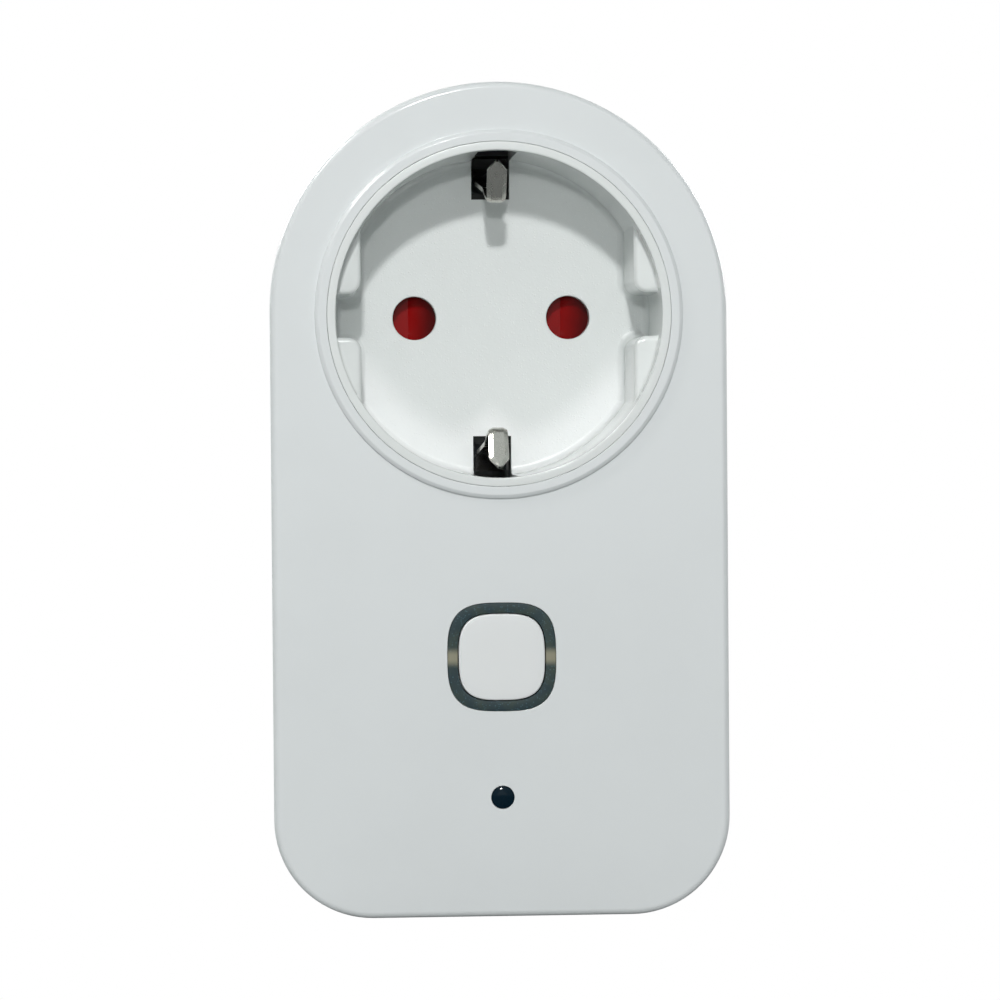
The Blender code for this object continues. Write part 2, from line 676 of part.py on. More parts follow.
def socket_insert(finish):
    profile = [
        (RECESS_RADIUS - FLOOR_FILLET, FLOOR_Y),
        (RECESS_RADIUS - FLOOR_FILLET * 0.3, FLOOR_Y - FLOOR_FILLET * 0.3),
        (RECESS_RADIUS, FLOOR_Y - FLOOR_FILLET),
        (RECESS_RADIUS, RIM_Y + RIM_WIDTH / 4),
        (RECESS_RADIUS + RIM_WIDTH / 4, RIM_Y),
        (RIM_RADIUS - RIM_WIDTH / 4, RIM_Y),
        (RIM_RADIUS, RIM_Y + RIM_WIDTH / 4),
        (RIM_RADIUS, FLANGE_FRONT_Y),
        (FLANGE_RADIUS, FLANGE_FRONT_Y),
        (FLANGE_RADIUS, FLANGE_BACK_Y),
        (BOWL_RADIUS, FLANGE_BACK_Y),
        (BOWL_RADIUS, FLOOR_BACK_Y),
    ]
    insert = stacked("socket_insert", profile, circle_at(0, 0, ROUND), finish)
    join(insert, *[guide_block(side, half) for side in (-1, 1) for half in (-1, 1)])
    cutters = []
    for side in (-1, 1):
        hole = cylinder("pin_hole", side * PIN_X, 0, PIN_HOLE_RADIUS, FLOOR_Y - MM, FLOOR_BACK_Y + MM)
        cutters.append(hole)
        low_z, high_z = sorted((side * EARTH_SLOT_Z, side * ARM_Z))
        slot_low = (-EARTH_SLOT_HALF, RIM_Y + EARTH_SLOT_DROP, low_z)
        cutters.append(box("earth_slot", slot_low, (EARTH_SLOT_HALF, FLOOR_BACK_Y + MM, high_z)))
        low_z, high_z = sorted((side * (BOWL_RADIUS + FIT), side * (FLANGE_RADIUS + MM)))
        gap_half = ARM_HALF_WIDTH + GAP
        gap_low = (-gap_half, FLANGE_FRONT_Y - GAP / 2, low_z)
        cutters.append(box("flange_gap", gap_low, (gap_half, FLANGE_BACK_Y + GAP / 2, high_z)))
    return cut(insert, *cutters)


def earth_clip(name, side, finish):
    """A bent spring strip: its tip under the rim, its bend in the recess, its root at the bar."""
    bend_z = RECESS_RADIUS - CLIP_BEND_INSET
    tip_z = RECESS_RADIUS - CLIP_TIP_INSET
    bend_y = RIM_Y + 4.9 * MM
    path = [
        (RIM_Y + 2.1 * MM, tip_z),
        (RIM_Y + 3.4 * MM, tip_z - 2.2 * MM),
        (bend_y - 0.5 * MM, bend_z + 0.35 * MM),
        (bend_y + 0.1 * MM, bend_z),
        (bend_y + 1.0 * MM, bend_z + 0.12 * MM),
        (FLOOR_Y - 2.0 * MM, bend_z + (HINGE_Z - bend_z) * 0.47),
        (HINGE_Y, HINGE_Z),
        (CLIP_END_Y, HINGE_Z),
    ]
    widths = [CLIP_WIDTH / 4, *[CLIP_WIDTH] * 4, *[CLIP_ROOT_WIDTH] * 3]
    clip = strip(name, [(y, side * z) for y, z in path], widths, CLIP_THICKNESS, finish)
    return place_origin(clip, 0, HINGE_Y, side * HINGE_Z)


def shutter(finish):
    """A plate that covers both pin holes, with a ramp under each for the pins to push it aside."""
    right_x = PIN_X + PIN_HOLE_RADIUS + 0.8 * MM
    left_x = -PIN_X - SHUTTER_TRAVEL - SHUTTER_END
    back_y = CARRIER_FRONT_Y + SHUTTER_THICKNESS
    half = SHUTTER_HALF_HEIGHT
    plate = prism("shutter", rectangle(left_x, -half, right_x, half), CARRIER_FRONT_Y, back_y, finish)
    tab_low = (-SPRING_LENGTH / 2 - 2.0 * MM, CARRIER_FRONT_Y, half - MM)
    tab_high = (-SPRING_LENGTH / 2, back_y, half + 2 * SPRING_RADIUS + MM)
    join(plate, box("spring_tab", tab_low, tab_high))
    cutters = []
    for x in (-PIN_X, PIN_X):
        hole = cylinder(
            "window", x - SHUTTER_TRAVEL, 0, SHUTTER_WINDOW_RADIUS, CARRIER_FRONT_Y - MM, back_y + MM
        )
        cutters.append(hole)
        left = x - PIN_HOLE_RADIUS - 0.4 * MM
        crease = x - PIN_HOLE_RADIUS + RAMP_START * PIN_HOLE_DIAMETER
        right = x + PIN_HOLE_RADIUS + 0.3 * MM
        outside_y = CARRIER_FRONT_Y - MM
        low_y = CARRIER_FRONT_Y + RAMP_DEPTH
        points = [(left, outside_y), (left, low_y), (crease, low_y)]
        points += [(right, CARRIER_FRONT_Y), (right, outside_y)]
        ramp_half = PIN_HOLE_RADIUS + 0.3 * MM
        cutters.append(prism_along_z("ramp", points, -ramp_half, ramp_half))
    cut(plate, *cutters)
    return place_origin(plate, 0, (CARRIER_FRONT_Y + back_y) / 2, 0)


def shutter_spring(finish):
    centre_y = CARRIER_FRONT_Y + SHUTTER_THICKNESS / 2
    centre_z = SHUTTER_HALF_HEIGHT + SPRING_RADIUS + 0.6 * MM
    start_x = -SPRING_LENGTH / 2 + GAP + SPRING_WIRE_RADIUS
    length = SPRING_LENGTH - 2 * (GAP + SPRING_WIRE_RADIUS)
    per_turn = 10
    points = []
    for i in range(SPRING_TURNS * per_turn + 1):
        angle = 2 * math.pi * i / per_turn
        x = start_x + length * i / (SPRING_TURNS * per_turn)
        coil = SPRING_RADIUS - SPRING_WIRE_RADIUS
        points.append((x, centre_y + coil * math.sin(angle), centre_z + coil * math.cos(angle)))
    return wire("shutter_spring", points, SPRING_WIRE_RADIUS, finish)


def contact_carrier(finish):
    carrier = cylinder(
        "contact_carrier", 0, 0, CARRIER_RADIUS, CARRIER_FRONT_Y, CARRIER_BACK_Y, finish, ROUND
    )
    additions = []
    for side in (-1, 1):
        root_y = CARRIER_BACK_Y - MM
        additions.append(cylinder("tower", side * PIN_X, 0, TOWER_RADIUS, root_y, TOWER_BACK_Y))
        low_z, high_z = sorted((side * ARM_Z, side * (ARM_Z + ARM_THICKNESS)))
        arm_low = (-ARM_HALF_WIDTH, FLANGE_FRONT_Y + 0.2 * MM, low_z)
        additions.append(box("arm", arm_low, (ARM_HALF_WIDTH, CARRIER_BACK_Y - 0.4 * MM, high_z)))
        low_z, high_z = sorted((side * (CARRIER_RADIUS - 1.4 * MM), side * (ARM_Z + ARM_THICKNESS / 2)))
        bridge_low = (-ARM_HALF_WIDTH + 0.4 * MM, CARRIER_FRONT_Y + 1.2 * MM, low_z)
        bridge_high = (ARM_HALF_WIDTH - 0.4 * MM, CARRIER_BACK_Y - 0.8 * MM, high_z)
        additions.append(box("bridge", bridge_low, bridge_high))
    join(carrier, *additions)
    channel_left = -PIN_X - SHUTTER_TRAVEL - SHUTTER_END - GAP
    channel_right = PIN_X + PIN_HOLE_RADIUS + 0.8 * MM + SHUTTER_TRAVEL + GAP
    channel_half = SHUTTER_HALF_HEIGHT + GAP
    outside_y = CARRIER_FRONT_Y - MM
    cutters = [
        box("channel", (channel_left, outside_y, -channel_half), (channel_right, CHANNEL_Y, channel_half)),
        box(
            "spring_slot",
            (-SPRING_LENGTH / 2 - 2.0 * MM - GAP, outside_y, channel_half - MM),
            (SPRING_LENGTH / 2, CHANNEL_Y, SHUTTER_HALF_HEIGHT + 2 * SPRING_RADIUS + MM + GAP),
        ),
    ]
    for side in (-1, 1):
        bore = CONTACT_OUTER_RADIUS + FIT
        cutters.append(cylinder("bore", side * PIN_X, 0, bore, CHANNEL_Y - MM / 2, TOWER_BACK_Y + MM))
        low_z, high_z = sorted((side * (EARTH_SLOT_Z + 0.9 * MM), side * (CARRIER_RADIUS - 0.7 * MM)))
        slot_half = CLIP_ROOT_WIDTH / 2 + 2 * GAP
        slot_high = (slot_half, CARRIER_BACK_Y + MM, high_z)
        cutters.append(box("clip_slot", (-slot_half, outside_y, low_z), slot_high))
    return cut(carrier, *cutters)


def contact(name, x, finish, tail):
    """A slit sleeve that grips a pin. The switched one has a tail for its wire."""
    inner_back_y = CONTACT_BACK_Y - CONTACT_WALL
    profile = [
        (CONTACT_RADIUS / 2, inner_back_y),
        (CONTACT_RADIUS, inner_back_y),
        (CONTACT_RADIUS, CONTACT_FRONT_Y + CONTACT_WALL),
        (CONTACT_RADIUS + CONTACT_WALL / 2, CONTACT_FRONT_Y),
        (CONTACT_OUTER_RADIUS, CONTACT_FRONT_Y),
        (CONTACT_OUTER_RADIUS, CONTACT_BACK_Y),
    ]
    sleeve = stacked(name, profile, circle_at(x, 0), finish)
    if tail:
        tail_y = WIRE_LANE_Y - CONTACT_WALL / 2
        low = (x - 1.5 * MM, tail_y, -CONTACT_OUTER_RADIUS - 4.8 * MM)
        high = (x + 1.5 * MM, tail_y + CONTACT_WALL, -CONTACT_OUTER_RADIUS + CONTACT_WALL / 2)
        join(sleeve, box("tail", low, high))
    half = CONTACT_SLIT / 2
    slit_low = (x - half, CONTACT_FRONT_Y - MM, -2 * CONTACT_OUTER_RADIUS)
    slit_high = (x + half, CONTACT_FRONT_Y + CONTACT_LENGTH * 0.55, 2 * CONTACT_OUTER_RADIUS)
    return cut(sleeve, box("slit", slit_low, slit_high))


def earth_bar(finish):
    half = BAR_WIDTH / 2
    low = (-half, BAR_FRONT_Y, -HINGE_Z - 0.2 * MM)
    return box("earth_bar", low, (half, BAR_BACK_Y, HINGE_Z + 0.2 * MM), finish)


# Plug


def plug_pin(name, x, tail_y, finish):
    tip = PIN_RADIUS * 0.8
    profile = [(PIN_TAIL_RADIUS, tail_y), (PIN_TAIL_RADIUS, PIN_FLANGE_Y - PIN_FLANGE_DEPTH)]
    profile += [(PIN_FLANGE_RADIUS, PIN_FLANGE_Y - PIN_FLANGE_DEPTH), (PIN_FLANGE_RADIUS, PIN_FLANGE_Y)]
    profile += [(PIN_RADIUS, PIN_FLANGE_Y), (PIN_RADIUS, PIN_LENGTH - tip)]
    for i in range(1, 4):
        angle = math.radians(76 * i / 3)
        profile.append((PIN_RADIUS * math.cos(angle), PIN_LENGTH - tip + tip * math.sin(angle)))
    profile[-1] = (profile[-1][0], PIN_LENGTH)
    return stacked(name, profile, circle_at(x, 0), finish)


def plug_earth_strip(name, side, finish):
    """Bent brass strip: flush in the plug's groove, then inwards and back to the earth bar."""
    outer_z = STRIP_FACE_Z - STRIP_THICKNESS / 2
    inner_z = PLUG_BORE_RADIUS - 0.5 * MM - STRIP_THICKNESS / 2
    leg_y = BACK_Y + 0.4 * MM + FIT + STRIP_THICKNESS / 2
    path = [(-1.2 * MM, outer_z), (leg_y, outer_z), (leg_y, inner_z), (STRIP_END_Y, inner_z)]
    path = [(y, side * z) for y, z in path]
    return strip(name, path, [STRIP_WIDTH] * 4, STRIP_THICKNESS, finish)


def plug_earth_sleeve(finish):
    profile = [
        (EARTH_HOLE_RADIUS, -GAP),
        (SLEEVE_RADIUS, -GAP),
        (SLEEVE_RADIUS, -GAP - SLEEVE_LENGTH),
        (EARTH_HOLE_RADIUS, -GAP - SLEEVE_LENGTH),
    ]
    return stacked("plug_earth_sleeve", profile, circle_at(0, EARTH_HOLE_RISE), finish, closed=True)


def pin_retainer(finish):
    radius = PLUG_BORE_RADIUS - 0.5 * MM
    plate = cylinder("pin_retainer", 0, 0, radius, RETAINER_BACK_Y, RETAINER_Y, finish, 40)
    near_y, far_y = RETAINER_BACK_Y - MM, RETAINER_Y + MM
    holes = [
        cylinder("hole", side * PIN_X, 0, PIN_TAIL_RADIUS + FIT, near_y, far_y, count=SMALL)
        for side in (-1, 1)
    ]
    holes.append(cylinder("hole", 0, EARTH_HOLE_RISE, SLEEVE_RADIUS + FIT, near_y, far_y))
    for x, z in retainer_places():
        holes.append(cylinder("hole", x, z, SMALL_SCREW_RADIUS + FIT, near_y, far_y, count=SMALL))
    return cut(plate, *holes)


# Screws


def screw(name, place, seat_y, direction, shank, head, height, length, finish):
    """A pan-head screw whose shank runs along +Y or -Y from its seat, with a crossed recess."""
    x, z = place
    profile = [
        (head * 0.62, seat_y - direction * height),
        (head, seat_y - direction * height * 0.5),
        (head, seat_y),
        (shank, seat_y),
        (shank, seat_y + direction * (length - shank)),
        (shank * 0.3, seat_y + direction * length),
    ]
    made = stacked(name, profile, circle_at(x, z, SMALL), finish)
    bottom, top = sorted((seat_y - direction * height * 0.4, seat_y - direction * (height + MM)))
    wide, thin = head * 0.55, head * 0.13
    upright = box("recess", (x - thin, bottom, z - wide), (x + thin, top, z + wide))
    level = box("recess", (x - wide, bottom, z - thin), (x + wide, top, z + thin))
    return cut(made, upright, level)


def small_screw(name, place, seat_y, direction, length, finish):
    sizes = (SMALL_SCREW_RADIUS, SMALL_HEAD_RADIUS, SMALL_HEAD_HEIGHT, length)
    return screw(name, place, seat_y, direction, *sizes, finish)


def make_screws(finish):
    made = []
    for number, place in enumerate(SCREW_PLACES, 1):
        sizes = (SCREW_SHANK_RADIUS, SCREW_HEAD_RADIUS, SCREW_HEAD_HEIGHT, SCREW_SEAT + 7 * MM)
        made.append(screw(f"case_screw_{number}", place, SCREW_SEAT_Y + GAP, -1, *sizes, finish))
    for number, place in enumerate(retainer_places(), 1):
        seat_y = RETAINER_BACK_Y - GAP
        name = f"retainer_screw_{number}"
        made.append(small_screw(name, place, seat_y, 1, RETAINER_THICKNESS + 3 * MM, finish))
    for number, place in enumerate(CONTROL_SCREW_PLACES, 1):
        seat_y = CONTROL_BACK_Y + GAP
        made.append(small_screw(f"control_screw_{number}", place, seat_y, -1, 5 * MM, finish))
    for number, place in enumerate(POWER_SCREW_PLACES, 1):
        seat_y = POWER_Y - GAP
        made.append(small_screw(f"power_screw_{number}", place, seat_y, 1, 5 * MM, finish))
    return made


# Button and lights


def button_cap(finish):
    profile = [
        (CAP_HALF - CAP_ROUND, CAP_FRONT_Y),
        (CAP_HALF - CAP_ROUND * 0.3, CAP_FRONT_Y + CAP_ROUND * 0.3),
        (CAP_HALF, CAP_FRONT_Y + CAP_ROUND),
        (CAP_HALF, CAP_FLANGE_Y),
        (CAP_FLANGE_HALF, CAP_FLANGE_Y),
        (CAP_FLANGE_HALF, CAP_FLANGE_Y + PRESS_FLANGE),
        (2.0 * MM, CAP_FLANGE_Y + PRESS_FLANGE),
        (2.0 * MM, CAP_STEM_Y),
    ]
    cap = stacked("button_cap", profile, squircle_at(0, BUTTON_Z), finish)
    return place_origin(cap, 0, CAP_FLANGE_Y, BUTTON_Z)


def light_ring(finish):
    profile = [
        (RING_BORE_HALF, RING_FRONT_Y + FIT),
        (RING_BORE_HALF + FIT, RING_FRONT_Y),
        (RING_HALF - FIT, RING_FRONT_Y),
        (RING_HALF, RING_FRONT_Y + FIT),
        (RING_HALF, RING_FLANGE_Y),
        (RING_HALF + RING_FLANGE, RING_FLANGE_Y),
        (RING_HALF + RING_FLANGE, RING_BACK_Y),
        (RING_BORE_HALF, RING_BACK_Y),
    ]
    return stacked("light_ring", profile, squircle_at(0, BUTTON_Z), finish, closed=True)


def light_guide(finish):
    inner = CAP_FLANGE_HALF + GAP
    outer = RING_HALF + RING_FLANGE
    profile = [
        (inner, RING_BACK_Y + GAP),
        (outer, RING_BACK_Y + GAP),
        (outer, CONTROL_Y - 3.0 * MM),
        (inner, CONTROL_Y - 3.0 * MM),
    ]
    return stacked("light_guide", profile, squircle_at(0, BUTTON_Z), finish, closed=True)


def indicator_lens(finish):
    front_y = FRONT_Y + LENS_SINK
    profile = [
        (LENS_RADIUS * 0.55, front_y - 0.1 * MM),
        (LENS_RADIUS, front_y + 0.1 * MM),
        (LENS_RADIUS, RING_FLANGE_Y),
        (LENS_RADIUS + 0.8 * MM, RING_FLANGE_Y),
        (LENS_RADIUS + 0.8 * MM, RING_BACK_Y),
        (LENS_RADIUS * 0.8, RING_BACK_Y),
        (LENS_RADIUS * 0.8, CONTROL_Y - 2 * GAP - LED_SIZE[1] - GAP),
    ]
    return stacked("indicator_lens", profile, circle_at(0, LENS_Z), finish)


def led(name, x, z, finish):
    width, height, depth = LED_SIZE
    low = (x - width / 2, CONTROL_Y - GAP - height, z - depth / 2)
    return box(name, low, (x + width / 2, CONTROL_Y - GAP, z + depth / 2), finish)


def make_leds(finish):
    side_x = RING_HALF + RING_FLANGE - LED_SIZE[0] / 2
    return [
        led("led_left", -side_x, BUTTON_Z, finish),
        led("led_right", side_x, BUTTON_Z, finish),
        led("indicator_led", 0, LENS_Z, finish),
    ]


def tact_switch_body(finish):
    half = SWITCH_SIZE / 2
    low = (-half, SWITCH_FRONT_Y, BUTTON_Z - half)
    body = box("tact_switch_body", low, (half, SWITCH_BACK_Y, BUTTON_Z + half), finish)
    well_y = SWITCH_FRONT_Y + SWITCH_WELL_DEPTH
    well = cylinder("well", 0, BUTTON_Z, 1.9 * MM, SWITCH_FRONT_Y - MM, well_y, count=SMALL)
    return cut(body, well)


def tact_switch_plunger(finish):
    back_y = SWITCH_FRONT_Y + SWITCH_WELL_DEPTH - KEY_TRAVEL - GAP
    plunger = cylinder(
        "tact_switch_plunger", 0, BUTTON_Z, 1.7 * MM, CAP_STEM_Y + GAP, back_y, finish, SMALL
    )
    return place_origin(plunger, 0, SWITCH_FRONT_Y, BUTTON_Z)


# Control board


def control_board(finish):
    points = rectangle(-CONTROL_HALF_WIDTH, CONTROL_BOTTOM_Z, CONTROL_HALF_WIDTH, CONTROL_TOP_Z)
    board = prism("control_board", points, CONTROL_Y, CONTROL_BACK_Y, finish)
    clearance = SMALL_SCREW_RADIUS + 2 * FIT
    holes = [
        cylinder("hole", x, z, clearance, CONTROL_Y - MM, CONTROL_BACK_Y + MM, count=SMALL)
        for x, z in CONTROL_SCREW_PLACES
    ]
    return cut(board, *holes)


def radio_module(board_finish, can_finish):
    near_y = CONTROL_BACK_Y + GAP
    half_x, top_z, bottom_z = 8.0 * MM, BUTTON_Z - 6.0 * MM, BUTTON_Z - 19.0 * MM
    board_y = near_y + 0.8 * MM
    board = box("radio_board", (-half_x, near_y, bottom_z), (half_x, board_y, top_z), board_finish)
    low = (-half_x + MM, board_y + GAP, bottom_z + MM)
    high = (half_x - 4.5 * MM, board_y + GAP + 1.6 * MM, top_z - MM)
    return [board, box("radio_shield", low, high, can_finish, 0.3 * MM)]


def link_header(finish):
    top_z = CONTROL_TOP_Z - 1.2 * MM
    low = (-4.8 * MM, CONTROL_BACK_Y + GAP, top_z - 2.5 * MM)
    return box("link_header", low, (3.6 * MM, POWER_Y - GAP, top_z), finish)


# Power board


def power_board(finish):
    """As wide as the case allows, and narrower at the bottom, between the lower screw towers."""
    wide = POWER_HALF_WIDTH
    narrow = LOWER_SCREW_X - SCREW_TOWER_RADIUS - 2 * GAP
    bottom_z = CASE_BOTTOM_Z + WALL + 1.5 * MM
    half = [(wide, POWER_TOP_Z), (wide, SHOULDER_Z), (narrow, SHOULDER_Z), (narrow, bottom_z)]
    points = half + [(-x, z) for x, z in reversed(half)]
    board = prism("power_board", points, POWER_Y, POWER_BACK_Y, finish)
    clearance = SMALL_SCREW_RADIUS + 2 * FIT
    holes = [
        cylinder("hole", x, z, clearance, POWER_Y - MM, POWER_BACK_Y + MM, count=SMALL)
        for x, z in POWER_SCREW_PLACES
    ]
    return cut(board, *holes)


RELAY_SIZE = (15.5 * MM, 15.0 * MM, 19.0 * MM)
RELAY_WALL = 0.8 * MM
RELAY_LEFT_X = -POWER_HALF_WIDTH + 1.2 * MM
RELAY_TOP_Z = POWER_TOP_Z - 2.0 * MM
RELAY_FRONT_Y = COMPONENT_Y - RELAY_SIZE[1]
RELAY_BASE_Y = COMPONENT_Y - 1.6 * MM
RELAY_X = RELAY_LEFT_X + RELAY_SIZE[0] / 2
RELAY_BOTTOM_Z = RELAY_TOP_Z - RELAY_SIZE[2]
RELAY_COIL_Z = RELAY_BOTTOM_Z + 7.6 * MM
RELAY_ARM_WIDTH = 7.6 * MM
RELAY_PIVOT_Z = RELAY_BOTTOM_Z + RELAY_WALL + GAP + 1.0 * MM
RELAY_ARMATURE_Y = RELAY_FRONT_Y + RELAY_WALL + 0.9 * MM
ARMATURE_THICKNESS = 1.0 * MM
RELAY_YOKE_TOP_Y = RELAY_ARMATURE_Y + ARMATURE_THICKNESS + GAP
RELAY_TONGUE_Z = RELAY_TOP_Z - 3.2 * MM


def relay_cover(finish):
    width, _, height = RELAY_SIZE
    low = (RELAY_LEFT_X, RELAY_FRONT_Y, RELAY_BOTTOM_Z)
    cover = box("relay_cover", low, (RELAY_LEFT_X + width, COMPONENT_Y, RELAY_TOP_Z), finish)
    inner_low = (low[0] + RELAY_WALL, low[1] + RELAY_WALL, low[2] + RELAY_WALL)
    inner_high = (low[0] + width - RELAY_WALL, COMPONENT_Y + MM, RELAY_TOP_Z - RELAY_WALL)
    return cut(cover, box("inside", inner_low, inner_high))


def relay_base(finish):
    edge = RELAY_WALL + GAP
    low = (RELAY_LEFT_X + edge, RELAY_BASE_Y, RELAY_BOTTOM_Z + edge)
    high = (RELAY_LEFT_X + RELAY_SIZE[0] - edge, COMPONENT_Y, RELAY_TOP_Z - edge)
    return box("relay_base", low, high, finish)


def relay_coil(finish):
    far_y = RELAY_BASE_Y - 1.8 * MM
    near_y = RELAY_YOKE_TOP_Y + 0.4 * MM
    flange, winding, cheek = 5.0 * MM, 4.2 * MM, 0.7 * MM
    profile = [
        (1.8 * MM, near_y),
        (1.8 * MM, near_y + 0.3 * MM),
        (flange, near_y + 0.3 * MM),
        (flange, near_y + cheek),
        (winding, near_y + cheek),
        (winding, far_y - cheek),
        (flange, far_y - cheek),
        (flange, far_y),
    ]
    return stacked("relay_coil", profile, circle_at(RELAY_X, RELAY_COIL_Z), finish)


def relay_yoke(finish):
    """An L of steel: its leg carries the armature's hinge and its foot passes under the coil."""
    leg_low_z = RELAY_BOTTOM_Z + RELAY_WALL + GAP
    leg_high_z = leg_low_z + 1.2 * MM
    foot_y = RELAY_BASE_Y - GAP
    points = [
        (RELAY_YOKE_TOP_Y, leg_low_z),
        (foot_y, leg_low_z),
        (foot_y, RELAY_COIL_Z + 2 * MM),
        (foot_y - 0.9 * MM, RELAY_COIL_Z + 2 * MM),
        (foot_y - 0.9 * MM, leg_high_z),
        (RELAY_YOKE_TOP_Y, leg_high_z),
    ]
    half = RELAY_ARM_WIDTH / 2
    return prism_along_x("relay_yoke", points, RELAY_X - half, RELAY_X + half, finish)


def relay_armature(finish):
    half = RELAY_ARM_WIDTH / 2
    low = (RELAY_X - half, RELAY_ARMATURE_Y, RELAY_PIVOT_Z - 0.5 * MM)
    high = (RELAY_X + half, RELAY_ARMATURE_Y + ARMATURE_THICKNESS, RELAY_COIL_Z + 5.0 * MM)
    plate = box("relay_armature", low, high, finish)
    tongue_low = (RELAY_X - 1.8 * MM, RELAY_ARMATURE_Y + 0.2 * MM, RELAY_COIL_Z)
    tongue_high = (RELAY_X + 1.8 * MM, RELAY_ARMATURE_Y + 0.8 * MM, RELAY_TONGUE_Z)
    join(plate, box("tongue", tongue_low, tongue_high))
    return place_origin(plate, RELAY_X, RELAY_ARMATURE_Y + ARMATURE_THICKNESS / 2, RELAY_PIVOT_Z)


def relay_contact_fixed(finish):
    """A bent terminal with its contact button under the armature's tongue."""
    top_y = RELAY_ARMATURE_Y + ARMATURE_THICKNESS + 1.2 * MM
    foot_y = RELAY_BASE_Y - GAP
    high_z = RELAY_TOP_Z - RELAY_WALL - GAP
    low = (RELAY_X - 1.8 * MM, top_y, high_z - 0.7 * MM)
    terminal = box("relay_contact_fixed", low, (RELAY_X + 1.8 * MM, foot_y, high_z), finish)
    ledge_low = (RELAY_X - 1.8 * MM, top_y, RELAY_TONGUE_Z - 1.4 * MM)
    ledge = box("ledge", ledge_low, (RELAY_X + 1.8 * MM, top_y + 0.7 * MM, high_z - 0.3 * MM))
    return join(terminal, ledge)


CORE_LEFT_X = 5.0 * MM
CORE_TOP_Z = POWER_TOP_Z - 6.0 * MM
CORE_SIZE = (15.0 * MM, 5.0 * MM, 13.0 * MM)
CORE_LEG = 2.2 * MM
CORE_FRONT_Y = COMPONENT_Y - 9.2 * MM


def transformer_core(finish):
    """A ferrite 8: two outer legs and a centre leg that passes through the bobbin."""
    width, depth, height = CORE_SIZE
    low = (CORE_LEFT_X, CORE_FRONT_Y, CORE_TOP_Z - height)
    core = box("transformer_core", low, (CORE_LEFT_X + width, CORE_FRONT_Y + depth, CORE_TOP_Z), finish)
    window = (width - 4 * CORE_LEG) / 2
    windows = []
    for left in (CORE_LEFT_X + CORE_LEG, CORE_LEFT_X + width - CORE_LEG - window):
        window_low = (left, CORE_FRONT_Y - MM, CORE_TOP_Z - height + CORE_LEG)
        window_high = (left + window, CORE_FRONT_Y + depth + MM, CORE_TOP_Z - CORE_LEG)
        windows.append(box("window", window_low, window_high))
    return cut(core, *windows)


def transformer_bobbin(finish):
    """The wound block round the core's centre leg, with a foot that reaches the board."""
    width, depth, height = CORE_SIZE
    centre_x = CORE_LEFT_X + width / 2
    half = width / 2 - CORE_LEG - GAP
    high_z = CORE_TOP_Z - CORE_LEG - GAP
    low_z = CORE_TOP_Z - height + CORE_LEG + GAP
    front_y, back_y = CORE_FRONT_Y - 2 * MM, CORE_FRONT_Y + depth + 1.6 * MM
    low, high = (centre_x - half, front_y, low_z), (centre_x + half, back_y, high_z)
    bobbin = box("transformer_bobbin", low, high, finish)
    foot_low = (centre_x - half - MM, back_y - MM / 2, low_z - MM)
    join(bobbin, box("foot", foot_low, (centre_x + half + MM, COMPONENT_Y, high_z + MM)))
    leg = CORE_LEG + GAP
    hole_low = (centre_x - leg, CORE_FRONT_Y - GAP, low_z - 2 * MM)
    hole_high = (centre_x + leg, CORE_FRONT_Y + depth + GAP, high_z + 2 * MM)
    return cut(bobbin, box("hole", hole_low, hole_high))


def film_capacitor(finish):
    low_z = SHOULDER_Z + 0.8 * MM
    low = (RELAY_LEFT_X, COMPONENT_Y - 11.0 * MM, low_z)
    high = (RELAY_LEFT_X + 12.5 * MM, COMPONENT_Y, low_z + 7.0 * MM)
    return box("film_capacitor", low, high, finish, 0.5 * MM)


def electrolytic(name, x, z, radius, height, finish):
    """A can with a rolled groove near its foot."""
    groove_y = COMPONENT_Y - 1.6 * MM
    profile = [
        (radius, COMPONENT_Y),
        (radius, groove_y + 0.4 * MM),
        (radius - 0.35 * MM, groove_y),
        (radius, groove_y - 0.4 * MM),
        (radius, COMPONENT_Y - height + 0.4 * MM),
        (radius - 0.4 * MM, COMPONENT_Y - height),
    ]
    return stacked(name, profile, circle_at(x, z, SMALL), finish)


def varistor(finish):
    """A coated disc that stands on its edge, turned about Y and then swung round to face X."""
    radius, half = 3.9 * MM, 1.4 * MM
    edge = radius - 0.6 * MM
    profile = [(edge, -half), (radius, -half / 2), (radius, half / 2), (edge, half)]
    disc = stacked("varistor", profile, circle_at(0, 0, SMALL), finish)
    disc.rotation_euler = (0, 0, math.pi / 2)
    disc.location = (-5.6 * MM, COMPONENT_Y - radius, RELAY_BOTTOM_Z - 5.0 * MM)
    return disc


def fuse(finish):
    x, z = 1.2 * MM, RELAY_BOTTOM_Z - 7.0 * MM
    return cylinder("fuse", x, z, 1.9 * MM, COMPONENT_Y - 8.0 * MM, COMPONENT_Y, finish, SMALL)


def choke(finish):
    drum, waist, height, cheek = 3.4 * MM, 2.6 * MM, 7.5 * MM, 1.2 * MM
    profile = [
        (drum, COMPONENT_Y),
        (drum, COMPONENT_Y - cheek),
        (waist, COMPONENT_Y - cheek),
        (waist, COMPONENT_Y - height + cheek),
        (drum, COMPONENT_Y - height + cheek),
        (drum, COMPONENT_Y - height),
    ]
    return stacked("choke", profile, circle_at(9.0 * MM, CASE_BOTTOM_Z + 9.2 * MM, SMALL), finish)


# Wires


